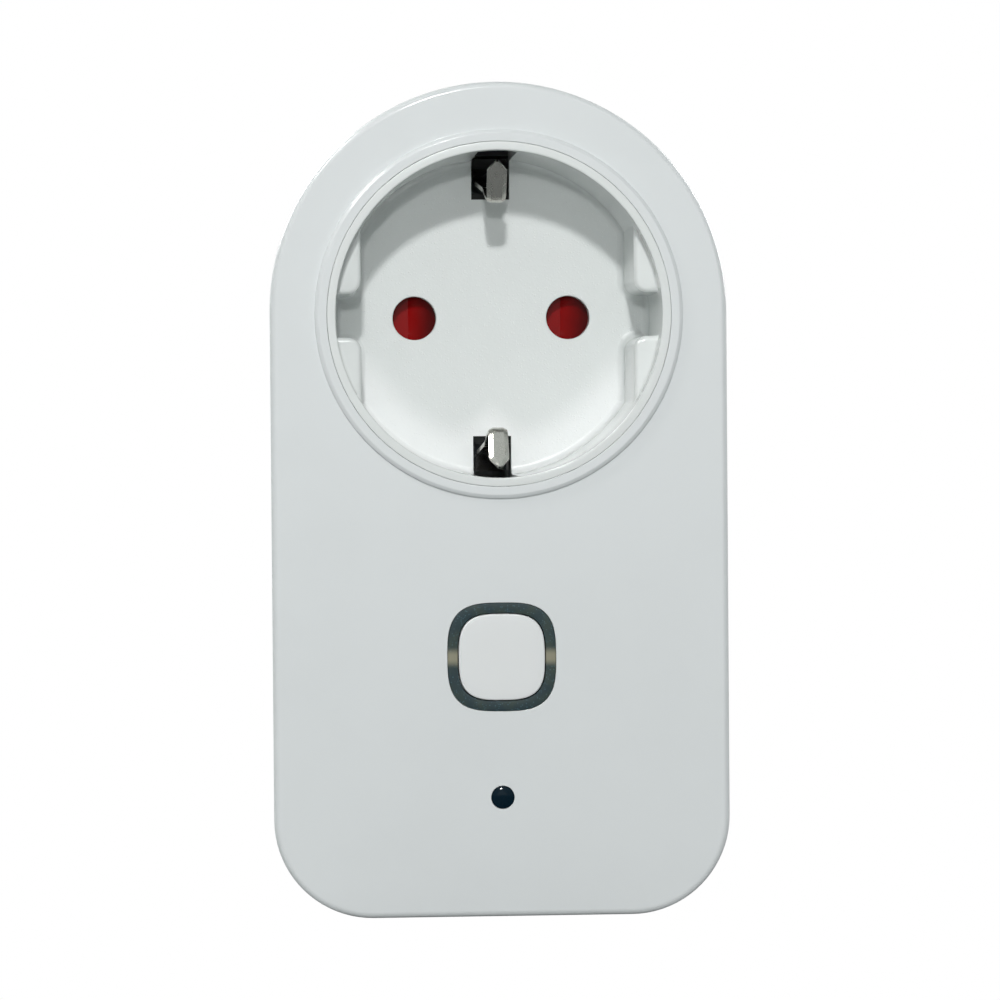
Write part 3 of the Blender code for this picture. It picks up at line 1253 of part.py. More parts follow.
def wire_to_board(name, start, lead, side, lane_x, finish):
    """A wire from a pin's tail, out of the plug's bore and down behind the power board."""
    places = [
        start,
        (start[0], start[1] + lead[0], start[2] + lead[1]),
        (side * (PIN_X - 1.0 * MM), start[1] - 2.2 * MM, start[2] - 3.0 * MM),
        (side * (lane_x + 0.3 * MM), (start[1] + WIRE_LANE_Y) / 2 - 2.0 * MM, -8.0 * MM),
        (side * lane_x, WIRE_LANE_Y, -12.8 * MM),
        (side * lane_x, WIRE_LANE_Y, POWER_TOP_Z + 4 * MM),
        (side * lane_x, WIRE_LANE_Y, POWER_TOP_Z - 4 * MM),
    ]
    return wire(name, smooth_route(places), WIRE_RADIUS, finish)


def wire_live_in(finish):
    start = (PIN_X, LIVE_TAIL_Y - GAP, 0.0)
    return wire_to_board("wire_live_in", start, (-1.0 * MM, 0.0), 1, 6.6 * MM, finish)


def wire_neutral(finish):
    start = (-PIN_X, LIVE_TAIL_Y, -PIN_TAIL_RADIUS - GAP)
    return wire_to_board("wire_neutral", start, (0.0, -1.0 * MM), -1, 6.6 * MM, finish)


def wire_live_out(finish):
    """From the switched contact's tail straight down behind the power board."""
    tail_z = -CONTACT_OUTER_RADIUS - 4.8 * MM
    places = [
        (PIN_X + 0.8 * MM, WIRE_LANE_Y, tail_z - GAP),
        (PIN_X + 1.4 * MM, WIRE_LANE_Y, tail_z - 4 * MM),
        (PIN_X + 2.5 * MM, WIRE_LANE_Y, POWER_TOP_Z + 4 * MM),
        (PIN_X + 2.5 * MM, WIRE_LANE_Y, POWER_TOP_Z - 4 * MM),
    ]
    return wire("wire_live_out", smooth_route(places), WIRE_RADIUS, finish)


# Assembly


def clear_scene():
    for made in list(bpy.data.objects):
        bpy.data.objects.remove(made, do_unlink=True)


def make_outlet(finishes):
    return [
        socket_insert(finishes["insert"]),
        earth_clip("earth_clip_upper", 1, finishes["nickel"]),
        earth_clip("earth_clip_lower", -1, finishes["nickel"]),
        shutter(finishes["shutter"]),
        shutter_spring(finishes["spring"]),
        contact_carrier(finishes["carrier"]),
        contact("contact_live", PIN_X, finishes["brass"], True),
        contact("contact_neutral", -PIN_X, finishes["brass"], False),
        earth_bar(finishes["brass"]),
    ]


def make_plug(finishes):
    return [
        plug_pin("plug_pin_live", PIN_X, LIVE_TAIL_Y, finishes["nickel"]),
        plug_pin("plug_pin_neutral", -PIN_X, CONTACT_BACK_Y + GAP, finishes["nickel"]),
        plug_earth_strip("plug_earth_strip_upper", 1, finishes["nickel"]),
        plug_earth_strip("plug_earth_strip_lower", -1, finishes["nickel"]),
        plug_earth_sleeve(finishes["brass"]),
        pin_retainer(finishes["carrier"]),
    ]


def make_control(finishes):
    return [
        button_cap(finishes["button"]),
        light_ring(finishes["ring"]),
        light_guide(finishes["guide"]),
        indicator_lens(finishes["lens"]),
        *make_leds(finishes["led"]),
        tact_switch_body(finishes["part_black"]),
        tact_switch_plunger(finishes["part_white"]),
        control_board(finishes["board"]),
        *radio_module(finishes["board"], finishes["can"]),
        link_header(finishes["part_black"]),
    ]


def make_power(finishes):
    black = finishes["part_black"]
    bulk_radius = 4.5 * MM
    bulk_place = (POWER_HALF_WIDTH - 6.2 * MM, SHOULDER_Z + bulk_radius + 0.8 * MM)
    output_place = (-9 * MM, CASE_BOTTOM_Z + 9 * MM)
    return [
        power_board(finishes["board"]),
        relay_cover(black),
        relay_base(black),
        relay_coil(finishes["copper"]),
        relay_yoke(finishes["screw"]),
        relay_armature(finishes["screw"]),
        relay_contact_fixed(finishes["brass"]),
        transformer_core(finishes["ferrite"]),
        transformer_bobbin(finishes["part_yellow"]),
        film_capacitor(finishes["part_yellow"]),
        electrolytic("bulk_capacitor", *bulk_place, bulk_radius, 12 * MM, black),
        electrolytic("output_capacitor", *output_place, 3.1 * MM, 10 * MM, black),
        varistor(finishes["part_blue"]),
        fuse(finishes["part_white"]),
        choke(finishes["ferrite"]),
        wire_live_in(finishes["wire_live"]),
        wire_live_out(finishes["wire_live"]),
        wire_neutral(finishes["wire_neutral"]),
    ]


def main():
    clear_scene()
    finishes = make_materials()
    pieces = [front_cover(finishes["case"]), rear_housing(finishes["case"])]
    pieces += make_outlet(finishes)
    pieces += make_plug(finishes)
    pieces += make_screws(finishes["screw"])
    pieces += make_control(finishes)
    pieces += make_power(finishes)
    plug = bpy.data.objects.new("smart_plug", None)
    bpy.context.scene.collection.objects.link(plug)
    for piece in pieces:
        piece.parent = plug
        if piece.type == "MESH":
            piece.data.shade_smooth()
            piece.data.set_sharp_from_angle(angle=math.radians(32))


main()
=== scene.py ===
"""Smart plug looks: the visible pieces and finishes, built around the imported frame.

All sizes are in metres. Seen from the front, +X is right and +Z is up, and +Y points into the
wall.
"""

import math

import bmesh
import bpy
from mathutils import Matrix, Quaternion, Vector


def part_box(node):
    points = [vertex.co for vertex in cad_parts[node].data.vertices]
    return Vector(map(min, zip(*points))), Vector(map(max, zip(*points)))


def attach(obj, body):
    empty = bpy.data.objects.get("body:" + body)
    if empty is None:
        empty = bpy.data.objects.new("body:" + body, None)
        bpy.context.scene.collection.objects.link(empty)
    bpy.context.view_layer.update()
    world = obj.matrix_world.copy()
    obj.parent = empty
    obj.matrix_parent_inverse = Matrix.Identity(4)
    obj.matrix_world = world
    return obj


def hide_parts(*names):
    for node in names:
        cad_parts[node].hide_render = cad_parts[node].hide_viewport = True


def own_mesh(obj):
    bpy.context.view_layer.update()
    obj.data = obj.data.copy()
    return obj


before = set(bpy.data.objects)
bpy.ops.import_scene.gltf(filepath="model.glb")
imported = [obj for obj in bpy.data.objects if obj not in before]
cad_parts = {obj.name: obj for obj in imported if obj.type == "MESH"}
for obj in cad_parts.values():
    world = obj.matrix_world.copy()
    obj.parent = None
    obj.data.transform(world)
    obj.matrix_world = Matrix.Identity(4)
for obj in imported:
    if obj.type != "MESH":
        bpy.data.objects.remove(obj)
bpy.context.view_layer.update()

bl_info = {
    "name": "Smart plug",
    "version": (1, 0, 0),
    "blender": (4, 5, 0),
    "location": "View3D > Sidebar > Smart plug",
    "description": "Builds a pass-through smart plug's visible pieces and finishes",
    "category": "Add Mesh",
}

MM = 0.001

# Places taken from the frame
COVER_LOW, COVER_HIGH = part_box("front_cover")
INSERT_LOW, INSERT_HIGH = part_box("socket_insert")
RING_LOW, RING_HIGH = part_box("light_ring")
CAP_LOW, CAP_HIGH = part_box("button_cap")
LENS_LOW, LENS_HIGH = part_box("indicator_lens")
SHUTTER_LOW, SHUTTER_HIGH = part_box("shutter")
BOARD_LOW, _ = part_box("control_board")

RIM_Y = INSERT_LOW.y
FRONT_Y = RIM_Y + 0.7 * MM
FLOOR_BACK_Y = INSERT_HIGH.y
FLOOR_Y = FLOOR_BACK_Y - 2.0 * MM
FACE_BACK_Y = FRONT_Y + 2.2 * MM
BACK_Y = -17.0 * MM
BACK_INNER_Y = BACK_Y - 2.2 * MM
COVER_END_Y = COVER_HIGH.y
REAR_START_Y = COVER_END_Y + 0.2 * MM
CASE_TOP_Z = COVER_HIGH.z
CASE_BOTTOM_Z = COVER_LOW.z
BUTTON_Z = (RING_LOW.z + RING_HIGH.z) / 2
LENS_Z = (LENS_LOW.z + LENS_HIGH.z) / 2

RING_HALF = (RING_HIGH.x - RING_LOW.x) / 2 - 1.11 * MM
PIN_NODES = ((-1, "plug_pin_live"), (1, "plug_pin_neutral"))
CAMERA_ROLL = -0.45

# Facets
ARC_STEPS = 96
CORNER_STEPS = 20
ROUND = 144
SMALL_ROUND = 64
TUBE_ROUND = 32
SCREW_ROUND = 48
SQUIRCLE_STEPS = 144
SQUIRCLE_POWER = 3.2
CORNER_CUTS = 4
CORNER_SHARE = 0.45
BEVEL_CUTS = 2
BEVEL_ANGLE = math.radians(40)


# Settings


def number_setting(name, description, value, **details):
    return bpy.props.FloatProperty(
        name=name, description=description, default=value, min=0.0, **details
    )


def length_setting(*words):
    return number_setting(*words, precision=5, subtype="DISTANCE", unit="LENGTH")


def colour_setting(name, description, value):
    return bpy.props.FloatVectorProperty(
        name=name,
        description=description,
        default=value,
        min=0.0,
        max=1.0,
        size=3,
        subtype="COLOR",
    )


def share_setting(*words):
    return number_setting(*words, max=1.0, subtype="FACTOR")


def power_setting(*words):
    return number_setting(*words, unit="POWER")


class SmartPlugCase(bpy.types.PropertyGroup):
    width: length_setting("Width", "Width of the case", COVER_HIGH.x - COVER_LOW.x)
    corner_radius: length_setting("Corner radius", "Radius of the two bottom corners", 11.8 * MM)
    edge_radius: length_setting("Edge radius", "Rounding round the front and back faces", 0.8 * MM)
    wall: length_setting("Wall", "Thickness of the side walls", 2.0 * MM)
    colour: colour_setting("Colour", "Colour of the case's plastic", (0.715, 0.745, 0.75))
    roughness: share_setting("Roughness", "Roughness of the case's satin finish", 0.52)


class SmartPlugOutlet(bpy.types.PropertyGroup):
    radius: length_setting("Recess radius", "Radius of the round recess", 19.5 * MM)
    rim: length_setting("Rim", "Width of the insert's rim", 1.02 * MM)
    pin_hole: length_setting("Pin hole", "Diameter of a pin hole", 5.35 * MM)
    pin_spacing: length_setting("Pin spacing", "Distance between the pin holes", 19.0 * MM)
    guide_corner: length_setting("Guide corner", "Radius of a guide block's inner corner", 1.6 * MM)
    guide_edge: length_setting("Guide edge", "Rounding of a guide block's top edge", 0.55 * MM)
    clip_width: length_setting("Clip width", "Width of an earth clip's spring", 2.4 * MM)
    colour: colour_setting("Colour", "Colour of the insert's plastic", (0.755, 0.785, 0.775))
    shutter_colour: colour_setting(
        "Shutter colour", "Colour of the shutter's plastic", (0.27, 0.0008, 0.001)
    )


class SmartPlugButton(bpy.types.PropertyGroup):
    ring_wall: length_setting("Ring width", "Width of the light ring's face", 1.19 * MM)
    ring_colour: colour_setting(
        "Ring colour", "Colour of the smoked light ring", (0.020, 0.040, 0.047)
    )
    spot_colour: colour_setting(
        "Spot colour", "Colour of the ring over its two lamps", (0.26, 0.25, 0.18)
    )
    cap_colour: colour_setting("Cap colour", "Colour of the button's cap", (0.755, 0.775, 0.775))
    lens_radius: length_setting("Lens radius", "Radius of the indicator's lens", 1.37 * MM)
    lens_colour: colour_setting(
        "Lens colour", "Colour of the indicator's lens", (0.001, 0.010, 0.019)
    )


class SmartPlugPlug(bpy.types.PropertyGroup):
    radius: length_setting("Plug radius", "Radius of the plug's round body", 18.3 * MM)
    pin_diameter: length_setting("Pin diameter", "Diameter of a pin", 4.8 * MM)
    metal: colour_setting("Plating", "Colour of the nickel plating", (0.66, 0.645, 0.60))


class SmartPlugStudio(bpy.types.PropertyGroup):
    key: power_setting("Key light", "Power of the main light, above the front", 6.0)
    front: power_setting("Front light", "Power of the small light beside the lens", 1.5)
    side: power_setting("Side light", "Power of the light at the upper left", 1.05)
    back: power_setting("Back lights", "Power of the lights behind the object", 10.0)
    ambient: colour_setting("Ambient", "Light from all round", (0.215, 0.226, 0.225))


class SmartPlugSettings(bpy.types.PropertyGroup):
    case: bpy.props.PointerProperty(type=SmartPlugCase, name="Case")
    outlet: bpy.props.PointerProperty(type=SmartPlugOutlet, name="Outlet")
    button: bpy.props.PointerProperty(type=SmartPlugButton, name="Button")
    plug: bpy.props.PointerProperty(type=SmartPlugPlug, name="Plug")
    studio: bpy.props.PointerProperty(type=SmartPlugStudio, name="Studio")


# Outlines in the XZ plane


def spread_angles(count):
    return [2 * math.pi * i / count for i in range(count)]


def circle_at(x, z, count=ROUND):
    def outline(radius):
        return [(x + radius * math.cos(a), z + radius * math.sin(a)) for a in spread_angles(count)]

    return outline


def squircle_at(x, z):
    def outline(half):
        points = []
        for angle in spread_angles(SQUIRCLE_STEPS):
            across, up = math.cos(angle), math.sin(angle)
            stretch = abs(across) ** SQUIRCLE_POWER + abs(up) ** SQUIRCLE_POWER
            reach = half / stretch ** (1 / SQUIRCLE_POWER)
            points.append((x + reach * across, z + reach * up))
        return points

    return outline


def arc(x, z, radius, start, end, steps):
    """Points from one angle to another, in degrees, both included."""
    angles = [math.radians(start + (end - start) * i / steps) for i in range(steps + 1)]
    return [(x + radius * math.cos(a), z + radius * math.sin(a)) for a in angles]


def case_outline(case):
    """A function from an inset to the case's outline: a round top and two rounded corners."""
    half = case.width / 2
    rise = CASE_TOP_Z - half
    corner_x = half - case.corner_radius
    corner_z = CASE_BOTTOM_Z + case.corner_radius

    def outline(inset):
        corner = case.corner_radius - inset
        top = arc(0, rise, half - inset, 0, 180, ARC_STEPS)
        left = arc(-corner_x, corner_z, corner, 180, 270, CORNER_STEPS)
        right = arc(corner_x, corner_z, corner, 270, 360, CORNER_STEPS)
        return top + left + right

    return outline


def round_corner(before, here, after, reach, steps):
    """Points that round one corner of a line, from a reach before it to a reach after it."""
    start = here + (before - here).normalized() * reach
    end = here + (after - here).normalized() * reach
    shares = [step / steps for step in range(steps + 1)]
    return [start * (1 - t) ** 2 + here * 2 * t * (1 - t) + end * t**2 for t in shares]


def soften(points):
    """Rounds the corners of a closed line of (x, z, radius), where the radius isn't zero."""
    rounded = []
    for i, (x, z, radius) in enumerate(points):
        if radius <= 0:
            rounded.append((x, z))
            continue
        here = Vector((x, z))
        before, after = Vector(points[i - 1][:2]), Vector(points[(i + 1) % len(points)][:2])
        longest = min((before - here).length, (after - here).length) * CORNER_SHARE
        places = round_corner(before, here, after, min(radius, longest), CORNER_CUTS)
        rounded += [(place.x, place.y) for place in places]
    return rounded


def between(start, end, count):
    """Points spread along a straight side, without its ends, none of them rounded."""
    shares = [k / count for k in range(1, count)]
    (x, z), (run, rise) = start[:2], (end[0] - start[0], end[1] - start[1])
    return [(x + run * t, z + rise * t, 0.0) for t in shares]


def unrounded(points):
    return [(x, z, 0.0) for x, z in points]


def with_radius(point, radius):
    return (*point[:2], radius)


def four_quarters(quarter):
    """A closed line from its first quarter, which runs from the X axis to the Z axis."""
    second = [(-x, z, r) for x, z, r in reversed(quarter)][1:]
    half = quarter + second
    return half + [(x, -z, r) for x, z, r in reversed(half)][1:-1]


def recess_outline(outlet, inset=0.0, block_inset=0.0):
    """The recess between its guide blocks, drawn in by an inset. A block can draw back alone."""
    radius = outlet.radius - inset
    shift = inset - block_inset
    notch = 2.6 * MM - shift
    face_x = outlet.radius - 3.1 * MM - shift
    corner = outlet.guide_corner + shift
    corner_x, corner_z = face_x + corner, notch + corner
    crease = max(0.35 * MM - inset, 0.02 * MM)
    first = math.degrees(math.asin(notch / radius))
    second = math.degrees(math.acos(face_x / radius))
    quarter = unrounded(arc(0, 0, radius, 0, first, 5))
    quarter[-1] = with_radius(quarter[-1], crease)
    quarter += between(quarter[-1], (corner_x, notch), 3)
    quarter += unrounded(reversed(arc(corner_x, corner_z, corner, 180, 270, 10)))
    block_end = (face_x, radius * math.sin(math.radians(second)))
    quarter += between(quarter[-1], block_end, 14)
    upper = unrounded(arc(0, 0, radius, second, 90, 34))
    upper[0] = with_radius(upper[0], crease)
    return soften(four_quarters(quarter + upper))


def plug_outline(plug, inset):
    """The plug's body: round, with flats beside two ribs and a groove for each earth strip."""
    radius = plug.radius - inset
    rib, flat_x = 2.3 * MM - inset, 16.0 * MM - inset
    groove, bottom = 2.9 * MM + inset, 15.45 * MM - inset
    edge = 0.3 * MM
    first = math.degrees(math.asin(rib / radius))
    second = math.degrees(math.acos(flat_x / radius))
    third = math.degrees(math.acos(groove / radius))
    quarter = unrounded(arc(0, 0, radius, 0, first, 5))
    quarter[-1] = with_radius(quarter[-1], edge)
    quarter.append((flat_x, rib, edge))
    side = unrounded(arc(0, 0, radius, second, third, 30))
    side[0], side[-1] = with_radius(side[0], edge), with_radius(side[-1], edge)
    quarter += side + [(groove, bottom, edge), (0.0, bottom, 0.0)]
    return soften(four_quarters(quarter))


# Mesh building


def add_ring(shape, points, y):
    return [shape.verts.new((x, y, z)) for x, z in points]


def bridge(shape, near, far):
    count = len(near)
    for i in range(count):
        j = (i + 1) % count
        shape.faces.new((near[i], near[j], far[j], far[i]))


def wall(shape, rings):
    for near, far in zip(rings, rings[1:]):
        bridge(shape, near, far)


def stack(shape, profile, outline):
    """Rings of an outline at each (size, y) of a profile, joined into a wall."""
    rings = [add_ring(shape, outline(size), y) for size, y in profile]
    wall(shape, rings)
    return rings


def fill(shape, *loops):
    """Fills the flat area between an outer loop and the holes in it."""
    edges = []
    for loop in loops:
        for first, second in zip(loop, loop[1:] + loop[:1]):
            edges.append(shape.edges.get((first, second)) or shape.edges.new((first, second)))
    bmesh.ops.triangle_fill(shape, use_beauty=True, use_dissolve=False, edges=edges)


def tube(shape, x, z, inner, outer, near_y, far_y):
    """A closed tube along Y."""
    profile = [(inner, near_y), (outer, near_y), (outer, far_y), (inner, far_y)]
    rings = [add_ring(shape, circle_at(x, z, TUBE_ROUND)(size), y) for size, y in profile]
    wall(shape, rings + rings[:1])


def turn(start, end, steps, corner):
    """Points of a quarter round from one (size, y) to another, bulging towards a corner."""
    points = []
    for i in range(steps + 1):
        angle = math.pi / 2 * i / steps
        forward, along = math.sin(angle), 1 - math.cos(angle)
        if corner == "size_first":
            forward, along = along, forward
        size = start[0] + (end[0] - start[0]) * along
        points.append((size, start[1] + (end[1] - start[1]) * forward))
    return points


def link_mesh(name, shape):
    bmesh.ops.recalc_face_normals(shape, faces=shape.faces)
    data = bpy.data.meshes.new(name)
    shape.to_mesh(data)
    shape.free()
    made = bpy.data.objects.new(name, data)
    bpy.context.scene.collection.objects.link(made)
    return made


def solid(name, sections):
    """A solid through closed sections, each a list of places, with flat ends."""
    shape = bmesh.new()
    rings = [[shape.verts.new(place) for place in section] for section in sections]
    wall(shape, rings)
    shape.faces.new(rings[0])
    shape.faces.new(rings[-1])
    return link_mesh(name, shape)


def box_mesh(name, low, high):
    corners = [(low[0], low[2]), (high[0], low[2]), (high[0], high[2]), (low[0], high[2])]
    return solid(name, [[(x, y, z) for x, z in corners] for y in (low[1], high[1])])


def mirrored_box(name, side, half_width, low_y, high_y, near_z, far_z):
    """A box across the middle plane, above the pin holes or, for side -1, below them."""
    low_z, high_z = sorted((side * near_z, side * far_z))
    return box_mesh(name, (-half_width, low_y, low_z), (half_width, high_y, high_z))


def turned(name, profile, outline):
    return solid(name, [[(x, y, z) for x, z in outline(size)] for size, y in profile])


def combine(target, operation, tools):
    """Joins tools to a mesh or cuts them from it, and removes them."""
    for tool in tools:
        step = target.modifiers.new(operation.lower(), "BOOLEAN")
        step.operation = operation
        step.solver = "EXACT"
        step.object = tool
    graph = bpy.context.evaluated_depsgraph_get()
    result = bpy.data.meshes.new_from_object(target.evaluated_get(graph))
    target.modifiers.clear()
    target.data = result
    for tool in tools:
        bpy.data.objects.remove(tool)


def bevel_edges(target, chosen, width):
    """Rounds the sharp edges whose two ends a test picks."""
    shape = bmesh.new()
    shape.from_mesh(target.data)
    shape.edges.ensure_lookup_table()
    picked = []
    for edge in shape.edges:
        if len(edge.link_faces) != 2 or edge.calc_face_angle(0.0) < BEVEL_ANGLE:
            continue
        if chosen(edge.verts[0].co) and chosen(edge.verts[1].co):
            picked.append(edge)
    bmesh.ops.bevel(
        shape,
        geom=picked,
        offset=width,
        segments=BEVEL_CUTS,
        affect="EDGES",
        clamp_overlap=True,
        profile=0.5,
    )
    shape.to_mesh(target.data)
    shape.free()


def finish_piece(piece, material, body, nodes, angle=32):
    """Shades a piece, gives it its finish, and puts it on its body in place of its nodes."""
    data = piece.data
    data.materials.clear()
    data.materials.append(material)
    data.shade_smooth()
    data.set_sharp_from_angle(angle=math.radians(angle))
    weighting = piece.modifiers.new("face_weighting", "WEIGHTED_NORMAL")
    weighting.keep_sharp = True
    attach(piece, body)
    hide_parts(*nodes)


# Shader node groups


SOCKET_KINDS = {1: "NodeSocketFloat", 3: "NodeSocketVector", 4: "NodeSocketColor"}
ORIGIN = (0.0, 0.0, 0.0)
GREY = (0.8, 0.8, 0.8, 1.0)
SURFACE_OUTPUTS = {"Colour": GREY, "Roughness": 0.0, "Height": 0.0}


def connect(tree, sockets, links):
    """Sets inputs, given as input name: output socket or constant."""
    for key, source in links.items():
        if isinstance(source, bpy.types.NodeSocket):
            tree.links.new(source, sockets[key])
        else:
            sockets[key].default_value = source


def new_group(name, inputs, outputs):
    """A node group from each socket's name and default, with what it's given and gives back."""
    group = bpy.data.node_groups.new(name, "ShaderNodeTree")
    for direction, sockets in (("INPUT", inputs), ("OUTPUT", outputs)):
        for key, value in sockets.items():
            kind = SOCKET_KINDS[1 if isinstance(value, float) else len(value)]
            made = group.interface.new_socket(name=key, in_out=direction, socket_type=kind)
            made.default_value = value
    given = group.nodes.new("NodeGroupInput").outputs
    result = group.nodes.new("NodeGroupOutput").inputs
    return group, given, result


def add_node(tree, kind, links=None, **values):
    """A node with its settings and its inputs."""
    node = tree.nodes.new(kind)
    for key, value in values.items():
        setattr(node, key, value)
    connect(tree, node.inputs, links or {})
    return node


def calculate(tree, operation, first, second=0.0, third=None, clamp=False):
    links = {0: first, 1: second}
    if third is not None:
        links[2] = third
    node = add_node(tree, "ShaderNodeMath", links, operation=operation, use_clamp=clamp)
    return node.outputs[0]


def times(tree, first, *others):
    for other in others:
        first = calculate(tree, "MULTIPLY", first, other)
    return first


def separate(tree, vector):
    """The X, Y and Z of a vector."""
    return add_node(tree, "ShaderNodeSeparateXYZ", {0: vector}).outputs


def remap(tree, value, from_low, from_high, to_low=0.0, to_high=1.0):
    links = {0: value, 1: from_low, 2: from_high, 3: to_low, 4: to_high}
    return add_node(tree, "ShaderNodeMapRange", links, interpolation_type="SMOOTHSTEP").outputs[0]


def blend_colours(tree, share, first, second):
    links = {0: share, 6: first, 7: second}
    return add_node(tree, "ShaderNodeMix", links, data_type="RGBA", blend_type="MIX").outputs[2]


def noise(tree, place, size, detail=2.0, roughness=0.5):
    scale = calculate(tree, "DIVIDE", 1.0, size)
    links = {"Vector": place, "Scale": scale, "Detail": detail, "Roughness": roughness}
    return add_node(tree, "ShaderNodeTexNoise", links).outputs[0]


def moulded_surface_group():
    """Moulded plastic: faint uneven colour, a fine eroded grain and uneven gloss."""
    inputs = {
        "Place": ORIGIN,
        "Colour": GREY,
        "Flow Colour": GREY,
        "Flow Amount": 0.2,
        "Flow Size": 0.02,
        "Grain Size": 0.0002,
        "Roughness": 0.4,
        "Roughness Spread": 0.06,
    }
    group, given, result = new_group("moulded_surface", inputs, SURFACE_OUTPUTS)
    flow = noise(group, given["Place"], given["Flow Size"], 3.0, 0.55)
    share = times(group, remap(group, flow, 0.35, 0.75), given["Flow Amount"])
    grain = noise(group, given["Place"], given["Grain Size"], 2.0, 0.6)
    coarse_size = times(group, given["Grain Size"], 3.5)
    coarse = noise(group, given["Place"], coarse_size, 1.0, 0.5)
    centred = calculate(group, "SUBTRACT", grain, 0.5)
    spread = times(group, centred, given["Roughness Spread"])
    links = {
        "Colour": blend_colours(group, share, given["Colour"], given["Flow Colour"]),
        "Roughness": calculate(group, "ADD", given["Roughness"], spread, clamp=True),
        "Height": calculate(group, "MULTIPLY_ADD", coarse, 0.6, grain),
    }
    connect(group, result, links)


def speckle_group():
    """Scattered small bright flecks, for a sparkling grain or dust."""
    inputs = {"Place": ORIGIN, "Size": 0.0005, "Share": 0.2}
    group, given, result = new_group("speckle", inputs, {"Mask": 0.0, "Height": 0.0})
    scale = calculate(group, "DIVIDE", 1.0, given["Size"])
    cells = add_node(group, "ShaderNodeTexVoronoi", {"Vector": given["Place"], "Scale": scale})
    chosen = add_node(group, "ShaderNodeSeparateColor", {0: cells.outputs["Color"]}).outputs[0]
    picked = calculate(group, "LESS_THAN", chosen, given["Share"])
    near = remap(group, cells.outputs["Distance"], 0.05, 0.4, 1.0, 0.0)
    connect(group, result, {"Mask": times(group, near, picked), "Height": near})


def drawn_metal_group():
    """Rolled or drawn metal: lines along one axis, small dents and dull patches."""
    inputs = {
        "Place": ORIGIN,
        "Stretch": (1.0, 1.0, 1.0),
        "Line Size": 0.0001,
        "Colour": GREY,
        "Dull Colour": GREY,
        "Roughness": 0.2,
        "Roughness Spread": 0.15,
    }
    group, given, result = new_group("drawn_metal", inputs, SURFACE_OUTPUTS)
    links = {0: given["Place"], 1: given["Stretch"]}
    stretched = add_node(group, "ShaderNodeVectorMath", links, operation="MULTIPLY").outputs[0]
    lines = noise(group, stretched, given["Line Size"], 3.0, 0.6)
    patch_size = times(group, given["Line Size"], 14.0)
    patches = remap(group, noise(group, given["Place"], patch_size, 3.0, 0.6), 0.4, 0.7)
    mixed = calculate(group, "MULTIPLY_ADD", patches, 0.6, times(group, lines, 0.4))
    spread = times(group, mixed, given["Roughness Spread"])
    share = times(group, mixed, 0.7)
    links = {
        "Colour": blend_colours(group, share, given["Colour"], given["Dull Colour"]),
        "Roughness": calculate(group, "ADD", given["Roughness"], spread, clamp=True),
        "Height": lines,
    }
    connect(group, result, links)


GROUP_MAKERS = {
    "moulded_surface": moulded_surface_group,
    "speckle": speckle_group,
    "drawn_metal": drawn_metal_group,
}


def group_node(tree, name, links):
    """Places a shared node group, which is made the first time."""
    if name not in bpy.data.node_groups:
        GROUP_MAKERS[name]()
    node = tree.nodes.new("ShaderNodeGroup")
    node.node_tree = bpy.data.node_groups[name]
    node.label = name.replace("_", " ")
    connect(tree, node.inputs, links)
    return node


# Materials


def rgba(colour, share=1.0):
    return (*[c * share for c in colour], 1.0)


def new_material(name, colour, **constants):
    """A material with its constants on the shader, and its tree, object place and shader."""
    made = bpy.data.materials.new(name)
    made.use_nodes = True
    made.diffuse_color = rgba(colour)
    tree = made.node_tree
    shader = tree.nodes["Principled BSDF"]
    connect(tree, shader.inputs, {key.replace("_", " "): constants[key] for key in constants})
    place = add_node(tree, "ShaderNodeTexCoord").outputs["Object"]
    return made, tree, place, shader


def join_surface(tree, shader, colour, roughness, height, bump):
    """Feeds a surface into the shader. Bump is (strength, distance)."""
    links = {"Strength": bump[0], "Distance": bump[1], "Height": height}
    normal = add_node(tree, "ShaderNodeBump", links).outputs[0]
    links = {"Base Color": colour, "Roughness": roughness, "Normal": normal}
    connect(tree, shader.inputs, links)


def outputs_of(surface):
    return [surface.outputs[key] for key in ("Colour", "Roughness", "Height")]


def moulded(tree, place, colour, flow, grain, roughness, spread=0.08):
    """The moulded surface's outputs. Flow is (amount, size, other colour or its brightness)."""
    amount, size, other = flow
    links = {
        "Place": place,
        "Colour": rgba(colour),
        "Flow Colour": rgba(colour, other) if isinstance(other, float) else rgba(other),
        "Flow Amount": amount,
        "Flow Size": size,
        "Grain Size": grain,
        "Roughness": roughness,
        "Roughness Spread": spread,
    }
    return outputs_of(group_node(tree, "moulded_surface", links))


def plastic(
    name,
    colour,
    roughness,
    flow=(0.15, 0.93),
    grain=0.14 * MM,
    bump=(0.25, 0.004 * MM),
    **constants,
):
    """Moulded plastic. Flow is (amount, brightness of the other colour)."""
    if name in bpy.data.materials:
        return bpy.data.materials[name]
    made, tree, place, shader = new_material(name, colour, **constants)
    flow = (flow[0], 12 * MM, flow[1])
    join_surface(tree, shader, *moulded(tree, place, colour, flow, grain, roughness), bump)
    return made


def metal(name, colour, dull, roughness, stretch=(1.0, 0.05, 1.0), spread=0.15):
    """Drawn metal, with lines along the axis whose stretch is smallest."""
    if name in bpy.data.materials:
        return bpy.data.materials[name]
    made, tree, place, shader = new_material(name, colour, Metallic=1.0)
    links = {
        "Place": place,
        "Stretch": stretch,
        "Line Size": 0.06 * MM,
        "Colour": rgba(colour),
        "Dull Colour": rgba(dull),
        "Roughness": roughness,
        "Roughness Spread": spread,
    }
    surface = outputs_of(group_node(tree, "drawn_metal", links))
    join_surface(tree, shader, *surface, (0.2, 0.002 * MM))
    return made


